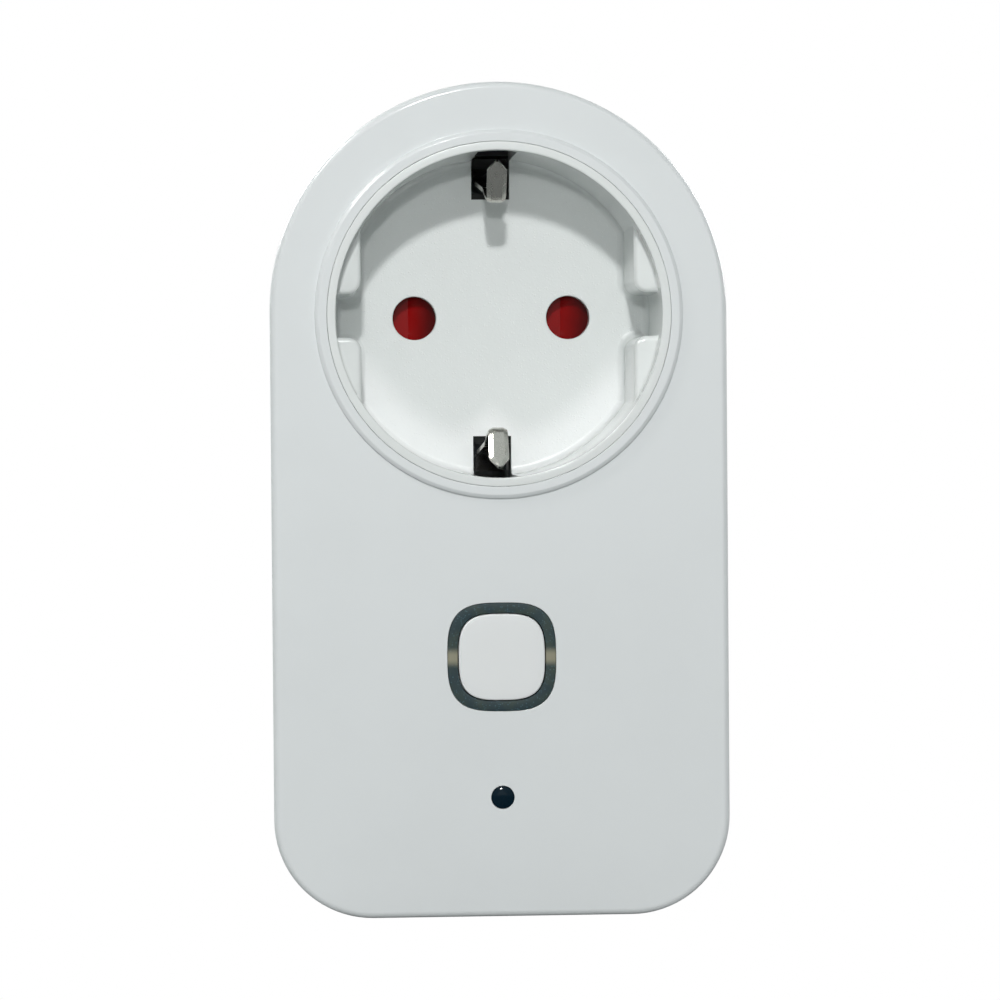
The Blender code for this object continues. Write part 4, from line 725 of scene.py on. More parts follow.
def case_plastic(settings):
    case = settings.case
    satin = {"flow": (0.35, 0.955), "Coat_Weight": 0.6, "Coat_Roughness": 0.12}
    return plastic("case_plastic", case.colour, case.roughness, **satin)


def reflected_patch(tree, x, y, z):
    """The pale patch that the glossy lower wall throws on the floor, as a share."""
    flat = add_node(tree, "ShaderNodeCombineXYZ", {0: x, 2: z}).outputs[0]
    length = add_node(tree, "ShaderNodeVectorMath", {0: flat}, operation="LENGTH")
    aside = calculate(tree, "DIVIDE", x, 3.0 * MM)
    peak = calculate(tree, "EXPONENT", times(tree, aside, aside, -1.0))
    past = calculate(tree, "MULTIPLY_ADD", peak, 3.4 * MM, length.outputs["Value"])
    band = remap(tree, past, 13.0 * MM, 17.2 * MM)
    low = remap(tree, z, -2.0 * MM, -10.0 * MM)
    deep = remap(tree, y, -52.0 * MM, -46.0 * MM)
    return times(tree, band, low, deep)


def insert_plastic(settings):
    """White plastic with a sparkling eroded grain on faces that look forwards: the grain is bumped,
    and its pale flecks are painted glints. The pale patch that the lower wall throws on the floor
    is painted in too.
    """
    colour = settings.outlet.colour
    made, tree, place, shader = new_material("insert_plastic", colour)
    flow = (0.3, 8 * MM, 0.95)
    pale, gloss, grain = moulded(tree, place, colour, flow, 0.22 * MM, 0.17)
    x, y, z = separate(tree, place)
    pale = blend_colours(tree, reflected_patch(tree, x, y, z), pale, rgba((0.88, 0.90, 0.895)))
    normal = add_node(tree, "ShaderNodeNewGeometry").outputs["True Normal"]
    front = remap(tree, separate(tree, normal)[1], -0.9, -0.98)
    grained = times(tree, front, remap(tree, y, -0.040, -0.038))
    flecks = group_node(tree, "speckle", {"Place": place, "Size": 0.3 * MM, "Share": 0.35})
    # Pale flecks painted into the colour are painted glints of the grain; the same flecks also
    # raise the bump.
    grain_fleck_and_painted_glint = times(tree, flecks.outputs["Mask"], grained)
    pale = blend_colours(tree, times(tree, grain_fleck_and_painted_glint, 0.28), pale, rgba((0.93, 0.945, 0.94)))
    grain = times(tree, grain, calculate(tree, "MULTIPLY_ADD", grained, 0.8, 0.2))
    height = calculate(tree, "MULTIPLY_ADD", grain_fleck_and_painted_glint, 1.6, grain)
    gloss = calculate(tree, "MULTIPLY_ADD", grained, 0.14, gloss)
    join_surface(tree, shader, pale, gloss, height, (0.6, 0.035 * MM))
    return made


def ring_plastic(settings):
    """Smoked plastic, paler where the two lamps sit behind it."""
    button = settings.button
    colour = button.ring_colour
    made, tree, place, shader = new_material("smoked_ring_plastic", colour, Specular_IOR_Level=0.3)
    flow = (0.8, 2.2 * MM, (0.045, 0.062, 0.046))
    smoke, gloss, height = moulded(tree, place, colour, flow, 0.16 * MM, 0.5, 0.2)
    flecks = group_node(tree, "speckle", {"Place": place, "Size": 0.22 * MM, "Share": 0.45})
    share = times(tree, flecks.outputs["Mask"], 0.75)
    smoke = blend_colours(tree, share, smoke, rgba(colour, 5.0))
    x, _, z = separate(tree, place)
    rise = calculate(tree, "ABSOLUTE", calculate(tree, "SUBTRACT", z, BUTTON_Z))
    lit = remap(tree, rise, 0.2 * MM, 1.35 * MM, 1.0, 0.0)
    sideways = remap(tree, calculate(tree, "ABSOLUTE", x), 4.6 * MM, 5.2 * MM)
    smoke = blend_colours(tree, times(tree, lit, sideways), smoke, rgba(button.spot_colour))
    join_surface(tree, shader, smoke, gloss, height, (0.3, 0.008 * MM))
    return made


def red_plastic(settings):
    """Deep red plastic, with painted shade that leaves the flat that the pins first touch paler and
    darkens it up each ramp.
    """
    colour, spacing = settings.outlet.shutter_colour, settings.outlet.pin_spacing
    constants = {"Specular_IOR_Level": 0.22}
    made, tree, place, shader = new_material("red_shutter_plastic", colour, **constants)
    flow = (0.5, 4 * MM, 0.7)
    red, gloss, height = moulded(tree, place, colour, flow, 0.3 * MM, 0.22)
    shifted = calculate(tree, "ADD", separate(tree, place)[0], spacing)
    along = calculate(tree, "MODULO", shifted, spacing)
    from_hole = calculate(tree, "SUBTRACT", along, spacing / 2)
    # Painted shade: the red darkens across each pin hole, from the crease up the ramp.
    painted_shade_dark = times(tree, remap(tree, from_hole, -0.7 * MM, 2.6 * MM), 0.88)
    red = blend_colours(tree, painted_shade_dark, red, rgba(colour, 0.16))
    join_surface(tree, shader, red, gloss, height, (0.25, 0.01 * MM))
    return made


def board_laminate():
    """Green solder mask over a maze of tracks, with bare pads."""
    made, tree, place, shader = new_material("board_laminate", (0.02, 0.16, 0.07))
    links = {"Vector": place, "Scale": 420.0, "Randomness": 0.6}
    cells = add_node(tree, "ShaderNodeTexVoronoi", links, feature="DISTANCE_TO_EDGE")
    tracks = remap(tree, cells.outputs["Distance"], 0.10, 0.14, 1.0, 0.0)
    pads = group_node(tree, "speckle", {"Place": place, "Size": 1.9 * MM, "Share": 0.3})
    bare = calculate(tree, "GREATER_THAN", pads.outputs["Mask"], 0.72)
    green = blend_colours(tree, tracks, rgba((0.010, 0.095, 0.040)), rgba((0.022, 0.17, 0.075)))
    green = blend_colours(tree, bare, green, rgba((0.62, 0.60, 0.55)))
    rough = calculate(tree, "MULTIPLY_ADD", noise(tree, place, 0.6 * MM), 0.15, 0.22)
    join_surface(tree, shader, green, rough, tracks, (0.4, 0.02 * MM))
    connect(tree, shader.inputs, {"Metallic": bare})
    return made


def winding(name, colour, pitch):
    """Enamelled wire in close turns, with painted shade in the grooves between the turns."""
    made, tree, place, shader = new_material(name, colour, Metallic=0.9)
    links = {"Vector": place, "Scale": 0.31 / pitch, "Distortion": 0.3}
    waves = add_node(tree, "ShaderNodeTexWave", links, bands_direction="Y").outputs["Fac"]
    # Painted shade: the colour drops to under half in the grooves between turns, where the bump is
    # low.
    wire = blend_colours(tree, waves, rgba(colour, 0.45), rgba(colour))
    rough = remap(tree, noise(tree, place, 0.5 * MM), 0.3, 0.7, 0.25, 0.45)
    join_surface(tree, shader, wire, rough, waves, (0.6, pitch))
    return made


def nickel(settings):
    colour = settings.plug.metal
    return metal("nickel_plating", colour, [c * 0.72 for c in colour], 0.16, spread=0.16)


def brass():
    return metal("brass", (0.78, 0.58, 0.27), (0.52, 0.36, 0.17), 0.2)


def zinc():
    pale, dull = (0.62, 0.63, 0.62), (0.42, 0.43, 0.43)
    return metal("zinc_plating", pale, dull, 0.26, stretch=(1.0, 1.0, 1.0))


def black_plastic():
    uneven = {"flow": (0.4, 1.6), "bump": (0.4, 0.01 * MM)}
    return plastic("black_plastic", (0.018, 0.020, 0.022), 0.42, **uneven)


# Case pieces


SCREW_PLACES = [
    (side * x, z)
    for x, z in ((21.8 * MM, -20.0 * MM), (19.5 * MM, -64.0 * MM))
    for side in (-1, 1)
]
BOARD_POSTS = ((-11 * MM, -34 * MM), (11 * MM, BOARD_LOW.z + 3 * MM))


def cover_collar(shape, outlet, loops):
    """The raised collar round the outlet, from its foot on the face to the bore's inner end."""
    bore = outlet.radius + outlet.rim + 0.03 * MM
    outer = outlet.radius + 2.45 * MM
    foot, crown, lip = 0.08 * MM, 0.34 * MM, 0.07 * MM
    profile = turn((outer + foot, FRONT_Y), (outer, FRONT_Y - foot), 4, "size_first")
    chamfer = ((0.0, 1.0), (0.03, 0.9), (0.11, 0.8), (1.1, 0.08), (1.25, 0.02), (1.45, 0.0))
    profile += [(outer - crown * inwards, RIM_Y + crown * deep) for inwards, deep in chamfer]
    profile += turn((bore + lip, RIM_Y), (bore, RIM_Y + lip), 3, "size_first")
    profile.append((bore, FACE_BACK_Y))
    rings = stack(shape, profile, circle_at(0, 0))
    loops.append((rings[0], rings[-1]))


def cover_hole(shape, outline, size, edge, loops):
    profile = turn((size + edge, FRONT_Y), (size, FRONT_Y + edge), 3, "size_first")
    rings = stack(shape, profile + [(size, FACE_BACK_Y)], outline)
    loops.append((rings[0], rings[-1]))


def case_walls(shape, case, start_y, face_y, inside):
    """A half case's side walls, from its rim to its face, with the edge round the face."""
    edge, towards_rim = 0.15 * MM, 1 if start_y > face_y else -1
    outer = turn((edge, start_y), (0.0, start_y - towards_rim * edge), 3, "size_first")
    round_y = face_y + towards_rim * case.edge_radius
    outer += turn((0.0, round_y), (case.edge_radius, face_y), 14, "y_first")
    outline = case_outline(case)
    outer_rings, inner_rings = stack(shape, outer, outline), stack(shape, inside, outline)
    bridge(shape, outer_rings[0], inner_rings[-1])
    return outer_rings[-1], inner_rings[0]


def build_front_cover(settings):
    case, outlet = settings.case, settings.outlet
    shape = bmesh.new()
    rebate, lip_y = 0.95 * MM, COVER_END_Y - 1.4 * MM
    inside = [(case.wall, FACE_BACK_Y), (case.wall, lip_y), (rebate, lip_y), (rebate, COVER_END_Y)]
    front, back = case_walls(shape, case, COVER_END_Y, FRONT_Y, inside)
    loops = []
    cover_collar(shape, outlet, loops)
    cover_hole(shape, squircle_at(0, BUTTON_Z), RING_HALF + 0.04 * MM, 0.08 * MM, loops)
    lens_hole = settings.button.lens_radius + 0.03 * MM
    cover_hole(shape, circle_at(0, LENS_Z, SMALL_ROUND), lens_hole, 0.06 * MM, loops)
    fill(shape, front, *[near for near, _ in loops])
    fill(shape, back, *[far for _, far in loops])
    piece = link_mesh("front_cover_shell", shape)
    deep = (1.5 * MM, RIM_Y + 1.4 * MM, FACE_BACK_Y + MM, 19.7 * MM, 22.3 * MM)
    combine(piece, "DIFFERENCE", [mirrored_box("clip_pocket", side, *deep) for side in (-1, 1)])
    shape = bmesh.new()
    shape.from_mesh(piece.data)
    post_y = FACE_BACK_Y - MM
    for x, z in SCREW_PLACES:
        tube(shape, x, z, 1.4 * MM, 2.8 * MM, post_y, COVER_END_Y - 0.1 * MM)
    for x, z in BOARD_POSTS:
        tube(shape, x, z, 0.95 * MM, 2.2 * MM, post_y, BOARD_LOW.y - 0.3 * MM)
    bmesh.ops.recalc_face_normals(shape, faces=shape.faces)
    shape.to_mesh(piece.data)
    shape.free()
    finish_piece(piece, case_plastic(settings), "housing", ["front_cover"])


def build_rear_housing(settings):
    case, plug, pin_x = settings.case, settings.plug, settings.outlet.pin_spacing / 2
    shape = bmesh.new()
    lip, lip_y = 1.1 * MM, REAR_START_Y - 1.3 * MM
    inside = [(case.wall, BACK_INNER_Y), (case.wall, lip_y), (lip, lip_y), (lip, REAR_START_Y)]
    back, front = case_walls(shape, case, REAR_START_Y, BACK_Y, inside)
    foot, round_edge = 0.5 * MM, 0.9 * MM
    profile = turn((-foot, BACK_Y), (0.0, BACK_Y + foot), 4, "size_first")
    profile += turn((0.0, -round_edge), (round_edge, 0.0), 8, "y_first")
    plug_rings = stack(shape, profile, lambda inset: plug_outline(plug, inset))
    end_wall_y, edge = -2.2 * MM, 0.15 * MM
    bore = stack(shape, [(13.8 * MM, BACK_INNER_Y), (13.8 * MM, end_wall_y)], circle_at(0, 0))
    pin_hole = plug.pin_diameter / 2 + 0.15 * MM
    holes = []
    for x, z, size in ((-pin_x, 0.0, pin_hole), (pin_x, 0.0, pin_hole), (0.0, 10 * MM, 3 * MM)):
        ends = [(size + edge, 0.0), (size, -edge), (size, end_wall_y)]
        rings = stack(shape, ends, circle_at(x, z, SMALL_ROUND))
        holes.append((rings[0], rings[-1]))
    fill(shape, plug_rings[-1], *[near for near, _ in holes])
    fill(shape, bore[-1], *[far for _, far in holes])
    well, shank, tower = 2.9 * MM, 1.55 * MM, 3.6 * MM
    seat_y = COVER_END_Y + 3.6 * MM
    ends = [(well + edge, BACK_Y), (well, BACK_Y - edge), (well, seat_y), (shank, seat_y)]
    ends += [(shank, REAR_START_Y), (tower, REAR_START_Y), (tower, BACK_INNER_Y)]
    wells = []
    for x, z in SCREW_PLACES:
        rings = stack(shape, ends, circle_at(x, z, SMALL_ROUND))
        wells.append((rings[0], rings[-1]))
    fill(shape, back, plug_rings[0], *[near for near, _ in wells])
    fill(shape, front, bore[0], *[far for _, far in wells])
    piece = link_mesh("rear_housing_shell", shape)
    finish_piece(piece, case_plastic(settings), "housing", ["rear_housing"])


# Outlet pieces


def quarter_turn(steps):
    """The sine and the fall of the cosine at even steps of a quarter turn."""
    angles = [math.pi / 2 * i / steps for i in range(steps + 1)]
    return [(1 - math.sin(angle), 1 - math.cos(angle)) for angle in angles]


def insert_rings(shape, outlet):
    """The recess from its floor to the rim, then the outside back to the underside."""
    fillet, top_edge, crease = 1.0 * MM, outlet.guide_edge, 0.4 * MM
    top_y = RIM_Y + 3.2 * MM
    rings = []
    for inwards, down in quarter_turn(6):
        points = recess_outline(outlet, fillet * inwards)
        rings.append(add_ring(shape, points, FLOOR_Y - fillet * down))
    for up, outwards in quarter_turn(6):
        points = recess_outline(outlet, 0.0, top_edge * outwards)
        rings.append(add_ring(shape, points, top_y + top_edge * up + 0.02 * MM))
    last = [(math.hypot(x, z), math.atan2(z, x)) for x, z in points]
    for inwards, up in quarter_turn(4):
        reach = outlet.radius - crease * inwards
        flat = [(max(r, reach) * math.cos(a), max(r, reach) * math.sin(a)) for r, a in last]
        rings.append(add_ring(shape, flat, top_y - crease * up))
    inner_edge, outer_edge = 0.18 * MM, 0.08 * MM
    inside, outside = outlet.radius, outlet.radius + outlet.rim
    profile = turn((inside, RIM_Y + inner_edge), (inside + inner_edge, RIM_Y), 4, "y_first")
    profile += turn((outside - outer_edge, RIM_Y), (outside, RIM_Y + outer_edge), 4, "size_first")
    near_y, far_y = FACE_BACK_Y + 0.3 * MM, FACE_BACK_Y + 2.3 * MM
    flange, drum = outside + 3.1 * MM, 21.3 * MM
    profile += [(outside, near_y), (flange, near_y), (flange, far_y)]
    profile += [(drum, far_y), (drum, FLOOR_BACK_Y)]
    for size, y in profile:
        points = [(size * math.cos(a), size * math.sin(a)) for _, a in last]
        rings.append(add_ring(shape, points, y))
    return rings


def build_socket_insert(settings):
    outlet = settings.outlet
    shape = bmesh.new()
    rings = insert_rings(shape, outlet)
    wall(shape, rings)
    fill(shape, rings[0])
    fill(shape, rings[-1])
    piece = link_mesh("socket_insert_bowl", shape)
    size, mouth = outlet.pin_hole / 2, 0.16 * MM
    slot_half, slot_start, past_y = 2.35 * MM, 14.6 * MM, FLOOR_BACK_Y + MM
    slot = (slot_half, RIM_Y + 1.5 * MM, past_y, slot_start, 22 * MM)
    gap = (4.5 * MM, FACE_BACK_Y + 0.1 * MM, FACE_BACK_Y + 2.6 * MM, 21.45 * MM, 24.5 * MM)
    profile = [(size + 2 * mouth, FLOOR_Y - 2 * mouth)]
    profile += turn((size + mouth, FLOOR_Y), (size, FLOOR_Y + mouth), 4, "size_first")
    profile.append((size, past_y))
    cutters = []
    for side in (-1, 1):
        outline = circle_at(side * outlet.pin_spacing / 2, 0, SMALL_ROUND)
        cutters.append(turned("pin_hole", profile, outline))
        cutters.append(mirrored_box("earth_slot", side, *slot))
        cutters.append(mirrored_box("flange_gap", side, *gap))
    combine(piece, "DIFFERENCE", cutters)

    def on_slot(place):
        x, z = abs(place.x), abs(place.z)
        beside = abs(x - slot_half) < 0.01 * MM or abs(z - slot_start) < 0.01 * MM
        inside = x < slot_half + 0.05 * MM and slot_start - 0.1 * MM < z < 19.6 * MM
        return beside and inside and place.y < FLOOR_Y + 0.1 * MM

    bevel_edges(piece, on_slot, 0.12 * MM)
    white = insert_plastic(settings)
    finish_piece(piece, white, "housing", ["socket_insert"], 38)


CLIP_TIP_Y, CLIP_ROOT_Y = -51.6 * MM, -23.8 * MM
CLIP_CORNERS = (
    (CLIP_TIP_Y, 18.3 * MM, 0.0),
    (-48.85 * MM, 13.62 * MM, 1.1 * MM),
    (-38.2 * MM, 16.12 * MM, 1.5 * MM),
    (-25.5 * MM, 18.8 * MM, 0.8 * MM),
    (CLIP_ROOT_Y, 18.8 * MM, 0.0),
)


def rounded_line(corners, steps):
    """An open line through (y, z, reach) corners, rounded over each reach."""
    line = [Vector(corners[0][:2])]
    for before, here, after in zip(corners, corners[1:], corners[2:]):
        ends = Vector(before[:2]), Vector(here[:2]), Vector(after[:2])
        line += round_corner(*ends, here[2], steps)
    return line + [Vector(corners[-1][:2])]


def clip_path():
    """The clip's centre line as close points in Y and Z, with a rounded bend."""
    line = rounded_line(CLIP_CORNERS, 8)
    dense = []
    for start, end in zip(line, line[1:]):
        count = max(1, round((end - start).length / (0.45 * MM)))
        dense += [start.lerp(end, k / count) for k in range(count)]
    return dense + [line[-1]]


def along_path(path, i):
    return (path[min(i + 1, len(path) - 1)] - path[max(i - 1, 0)]).normalized()


def clip_width(outlet, travelled, y):
    """Pointed at the tip, a little narrower at the bend, and wide at the root."""
    full, point = outlet.clip_width, 1.25 * MM
    if travelled < point:
        return full * (0.10 + 0.90 * travelled / point)
    root = min(max((y + 41 * MM) / (5 * MM), 0.0), 1.0)
    waist = 0.2 * MM * math.exp(-(((y + 48.2 * MM) / (1.2 * MM)) ** 2))
    return full - waist + (3.8 * MM - full) * root


def build_earth_clip(settings, name, side, body, node):
    """Sprung sheet metal, coined to a ridge from its tip to past its bend."""
    path = clip_path()
    low, high = -0.3 * MM, 0.3 * MM
    sections = []
    travelled = 0.0
    for i, centre in enumerate(path):
        along = along_path(path, i)
        across = Vector((along.y, -along.x))
        if i:
            travelled += (centre - path[i - 1]).length
        half = clip_width(settings.outlet, travelled, centre.x) / 2
        coin = min(1.0, max(0.0, (-44 * MM - centre.x) / (2 * MM)))
        bevel = min(0.5 * MM, half * 0.6) * coin + 0.08 * MM * (1 - coin)
        drop = 0.24 * MM * min(1.0, half / (0.6 * MM)) * coin + 0.06 * MM * (1 - coin)
        outline = [(-half, low), (-half, high - drop), (-half + bevel, high)]
        outline += [(-x, h) for x, h in reversed(outline)]
        places = [(x, centre + across * h) for x, h in outline]
        sections.append([(x, place.x, side * place.y) for x, place in places])
    piece = solid(name, sections)
    finish_piece(piece, nickel(settings), body, [node], 20)


def build_shutter(settings):
    outlet, (low, high) = settings.outlet, (SHUTTER_LOW, SHUTTER_HIGH)
    half, travel = 4.3 * MM, 5.8 * MM
    plate = box_mesh("shutter_plate", (low.x, low.y, -half), (high.x, high.y, half))
    tab_low, tab_high = (-9.5 * MM, low.y, half - MM), (-7.5 * MM, high.y, high.z)
    combine(plate, "UNION", [box_mesh("tab", tab_low, tab_high)])
    size, front_y, flat_y = outlet.pin_hole / 2, low.y - MM, low.y + 1.1 * MM
    window = [(2.9 * MM, front_y), (2.9 * MM, high.y + MM)]
    cutters = []
    for side in (-1, 1):
        x = side * outlet.pin_spacing / 2
        cutters.append(turned("window", window, circle_at(x - travel, 0, SMALL_ROUND)))
        left, right = x - size - 0.4 * MM, x + size + 0.3 * MM
        crease = x - size + 0.74 * size
        line = [(left, front_y), (left, flat_y), (crease, flat_y), (right, low.y), (right, front_y)]
        sections = [[(x, y, z) for x, y in line] for z in (-2.975 * MM, 2.975 * MM)]
        cutters.append(solid("ramp", sections))
    combine(plate, "DIFFERENCE", cutters)
    bevel_edges(plate, lambda place: place.y < low.y + 0.01 * MM, 0.1 * MM)
    finish_piece(plate, red_plastic(settings), "shutter_slider", ["shutter"], 9)


def build_shutter_spring():
    """The coil that pushes the shutter shut."""
    low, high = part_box("shutter_spring")
    wire, turns, steps = 0.22 * MM, 7, 16
    coil = (high.z - low.z) / 2 - wire
    y, z = (low.y + high.y) / 2, (low.z + high.z) / 2
    length = high.x - low.x - 2 * wire
    sections = []
    for i in range(turns * steps + 1):
        angle = 2 * math.pi * i / steps
        out = Vector((0.0, math.cos(angle), math.sin(angle)))
        centre = Vector((low.x + wire + length * i / (turns * steps), y, z)) + out * coil
        tilts = [math.pi * k / 3 for k in range(6)]
        along = Vector((wire, 0.0, 0.0))
        sections.append([centre + out * wire * math.cos(t) + along * math.sin(t) for t in tilts])
    piece = solid("shutter_coil_spring", sections)
    pale, dull = (0.58, 0.58, 0.58), (0.40, 0.40, 0.40)
    steel = metal("spring_steel", pale, dull, 0.24, stretch=(0.1, 1.0, 1.0))
    finish_piece(piece, steel, "housing", ["shutter_spring"], 60)
    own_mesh(piece)


# Button, light ring and lens


def build_light_ring(settings):
    half = RING_HALF
    bore = half - settings.button.ring_wall
    front_y = FRONT_Y + 0.06 * MM
    edge = 0.05 * MM
    flange_y = FACE_BACK_Y + 0.3 * MM
    profile = turn((bore, front_y + edge), (bore + edge, front_y), 3, "y_first")
    profile += turn((half - edge, front_y), (half, front_y + edge), 3, "size_first")
    profile += [(half, flange_y), (half + MM, flange_y)]
    profile += [(half + MM, RING_HIGH.y), (bore, RING_HIGH.y)]
    shape = bmesh.new()
    rings = stack(shape, profile, squircle_at(0, BUTTON_Z))
    bridge(shape, rings[-1], rings[0])
    piece = link_mesh("smoked_light_ring", shape)
    finish_piece(piece, ring_plastic(settings), "housing", ["light_ring"])


def build_button_cap(settings):
    half = RING_HALF - settings.button.ring_wall - 0.12 * MM
    front_y, edge = CAP_LOW.y, 0.2 * MM
    near_y, far_y = RING_HIGH.y + 0.3 * MM, RING_HIGH.y + 1.1 * MM
    flange, stem = half + 0.48 * MM, 2.0 * MM
    profile = [(0.5 * half, front_y), (0.8 * half, front_y + 0.005 * MM)]
    profile += turn((half - edge, front_y + 0.02 * MM), (half, front_y + edge), 6, "size_first")
    profile += [(half, near_y), (flange, near_y), (flange, far_y)]
    profile += [(stem, far_y), (stem, CAP_HIGH.y)]
    piece = turned("push_button_cap", profile, squircle_at(0, BUTTON_Z))
    finish = plastic("button_plastic", settings.button.cap_colour, 0.42, flow=(0.3, 0.97))
    finish_piece(piece, finish, "key", ["button_cap"])


def build_lens(settings):
    radius = settings.button.lens_radius
    drop, near_y, far_y = 0.22 * MM, FACE_BACK_Y + 0.3 * MM, FACE_BACK_Y + 1.1 * MM
    flange, stem = radius + 0.8 * MM, radius * 0.8
    profile = [(radius * k / 10, FRONT_Y + drop * (k / 10) ** 2.4) for k in range(1, 11)]
    profile += [(radius, near_y), (flange, near_y), (flange, far_y), (stem, far_y)]
    profile.append((stem, LENS_HIGH.y))
    piece = turned("indicator_lens_dome", profile, circle_at(0, LENS_Z, SMALL_ROUND))
    clear = {"flow": (0.6, 2.4), "grain": 0.5 * MM, "bump": (0.05, 0.002 * MM)}
    colour = settings.button.lens_colour
    finish = plastic("lens_plastic", colour, 0.10, Specular_IOR_Level=0.18, **clear)
    finish_piece(piece, finish, "housing", ["indicator_lens"])


# Plug pieces


def build_pin(settings, name, side, node):
    low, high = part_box(node)
    radius = settings.plug.pin_diameter / 2
    nose, tail, flange = radius * 0.8, 1.8 * MM, 3.5 * MM
    near_y, far_y = -4.9 * MM, -2.5 * MM
    profile = [(tail, low.y), (tail, near_y), (flange, near_y), (flange, far_y)]
    profile += [(radius, far_y), (radius, high.y - nose)]
    for i in range(1, 11):
        angle = math.radians(83 * i / 10)
        profile.append((radius * math.cos(angle), high.y - nose + nose * math.sin(angle)))
    profile[-1] = (profile[-1][0], high.y)
    outline = circle_at(side * settings.outlet.pin_spacing / 2, 0, SMALL_ROUND)
    piece = turned(name, profile, outline)
    finish_piece(piece, nickel(settings), "housing", [node])


def build_earth_strip(settings, name, side, node):
    """Sheet metal that lies in the plug's groove and turns inwards at its root."""
    half, thickness, edge = 2.2 * MM, 0.8 * MM, 0.14 * MM
    outer_z, leg_y, inner_z = 16.0 * MM, -16.05 * MM, 12.9 * MM
    corners = [(-1.2 * MM, outer_z, 0), (leg_y, outer_z, 0.8 * MM)]
    corners += [(leg_y, inner_z, 0.4 * MM), (-22.4 * MM, inner_z, 0)]
    path = rounded_line(corners, 4)
    outline = [(-half, -1), (-half, 0.65), (-half + edge, 1)]
    outline += [(-x, h) for x, h in reversed(outline)]
    sections = []
    for i, centre in enumerate(path):
        along = along_path(path, i)
        across = Vector((along.y, -along.x)) * (thickness / 2)
        places = [(x, centre + across * h) for x, h in outline]
        sections.append([(x, place.x, side * place.y) for x, place in places])
    piece = solid(name, sections)
    finish_piece(piece, nickel(settings), "housing", [node])


def build_earth_sleeve():
    low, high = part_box("plug_earth_sleeve")
    bore, outer = 2.45 * MM, 2.85 * MM
    profile = [(bore, high.y - 0.12 * MM), (2.6 * MM, high.y), (outer, high.y)]
    profile += [(outer, low.y), (bore, low.y)]
    shape = bmesh.new()
    rings = stack(shape, profile, circle_at(0, 10 * MM, SMALL_ROUND))
    bridge(shape, rings[-1], rings[0])
    piece = link_mesh("plug_earth_socket", shape)
    finish_piece(piece, brass(), "housing", ["plug_earth_sleeve"])


def build_case_screw(number):
    node = f"case_screw_{number}"
    low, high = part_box(node)
    x, z = (low.x + high.x) / 2, (low.z + high.z) / 2
    head, shank, height, pitch, turns = 2.6 * MM, 1.25 * MM, 1.8 * MM, 0.8 * MM, 11
    seat_y = high.y - height
    profile = [(head * 0.15, high.y)]
    for i in range(1, 9):
        angle = math.radians(90 * i / 8)
        across, up = 0.45 + 0.55 * math.sin(angle), 0.45 + 0.55 * math.cos(angle)
        profile.append((head * across, seat_y + height * up))
    profile += [(head, seat_y), (shank, seat_y)]
    for i in range(1, turns + 1):
        y = seat_y - i * pitch
        profile += [(shank * 0.82, y), (shank, y - pitch / 2)]
    profile.append((shank * 0.3, low.y))
    piece = turned(f"case_screw_{number}_head", profile, circle_at(x, z, SCREW_ROUND))
    wide, thin, deep, past = head * 0.56, head * 0.12, high.y - 1.1 * MM, high.y + MM
    cross = [
        box_mesh("cross", (x - across, deep, z - up), (x + across, past, z + up))
        for across, up in ((thin, wide), (wide, thin))
    ]
    combine(piece, "DIFFERENCE", cross)
    finish_piece(piece, zinc(), "housing", [node])


# Finishes of the nodes that keep their shape


def kept_finishes():
    green, black, white = board_laminate(), black_plastic(), (0.76, 0.76, 0.73)
    yellow = plastic("yellow_plastic", (0.78, 0.58, 0.08), 0.38, flow=(0.4, 0.85))
    steel, gold = zinc(), brass()
    # The earth bar's nickel is painted far darker than plating, as painted shade in the slots it
    # shows through.
    painted_shade_dark = metal("dull_nickel", (0.16, 0.18, 0.19), (0.08, 0.09, 0.10), 0.42)
    ferrite = plastic("ferrite", (0.045, 0.046, 0.05), 0.62, flow=(0.6, 1.5), bump=(0.6, 0.02 * MM))
    lamp = plastic("lamp_body", (0.86, 0.80, 0.52), 0.22, flow=(0.3, 0.9), Coat_Weight=0.4)
    brown = plastic("brown_insulation", (0.15, 0.06, 0.025), 0.42, flow=(0.4, 1.3))
    blue = plastic("blue_insulation", (0.03, 0.12, 0.42), 0.40, flow=(0.4, 1.2))
    coated = plastic("blue_coating", (0.04, 0.14, 0.44), 0.28, flow=(0.4, 1.2), Coat_Weight=0.5)
    milky = plastic("milky_plastic", (0.80, 0.83, 0.83), 0.3, flow=(0.3, 0.96))
    ivory = plastic("ivory_plastic", white, 0.4)
    can = metal("tinned_sheet", (0.70, 0.71, 0.72), (0.55, 0.56, 0.57), 0.24)
    copper = winding("enamelled_copper", (0.58, 0.21, 0.07), 0.12 * MM)
    return {
        green: ["control_board", "radio_board", "power_board"],
        black: [
            "contact_carrier",
            "pin_retainer",
            "tact_switch_body",
            "link_header",
            "relay_cover",
            "relay_base",
            "bulk_capacitor",
            "output_capacitor",
        ],
        yellow: ["film_capacitor", "transformer_bobbin"],
        gold: ["contact_live", "contact_neutral", "relay_contact_fixed"],
        painted_shade_dark: ["earth_bar"],
        steel: [
            "retainer_screw_1",
            "retainer_screw_2",
            "control_screw_1",
            "control_screw_2",
            "power_screw_1",
            "power_screw_2",
            "relay_yoke",
            "relay_armature",
        ],
        ferrite: ["transformer_core", "choke"],
        lamp: ["led_left", "led_right", "indicator_led"],
        brown: ["wire_live_in", "wire_live_out"],
        blue: ["wire_neutral"],
        coated: ["varistor"],
        milky: ["light_guide"],
        ivory: ["tact_switch_plunger", "fuse"],
        can: ["radio_shield"],
        copper: ["relay_coil"],
    }


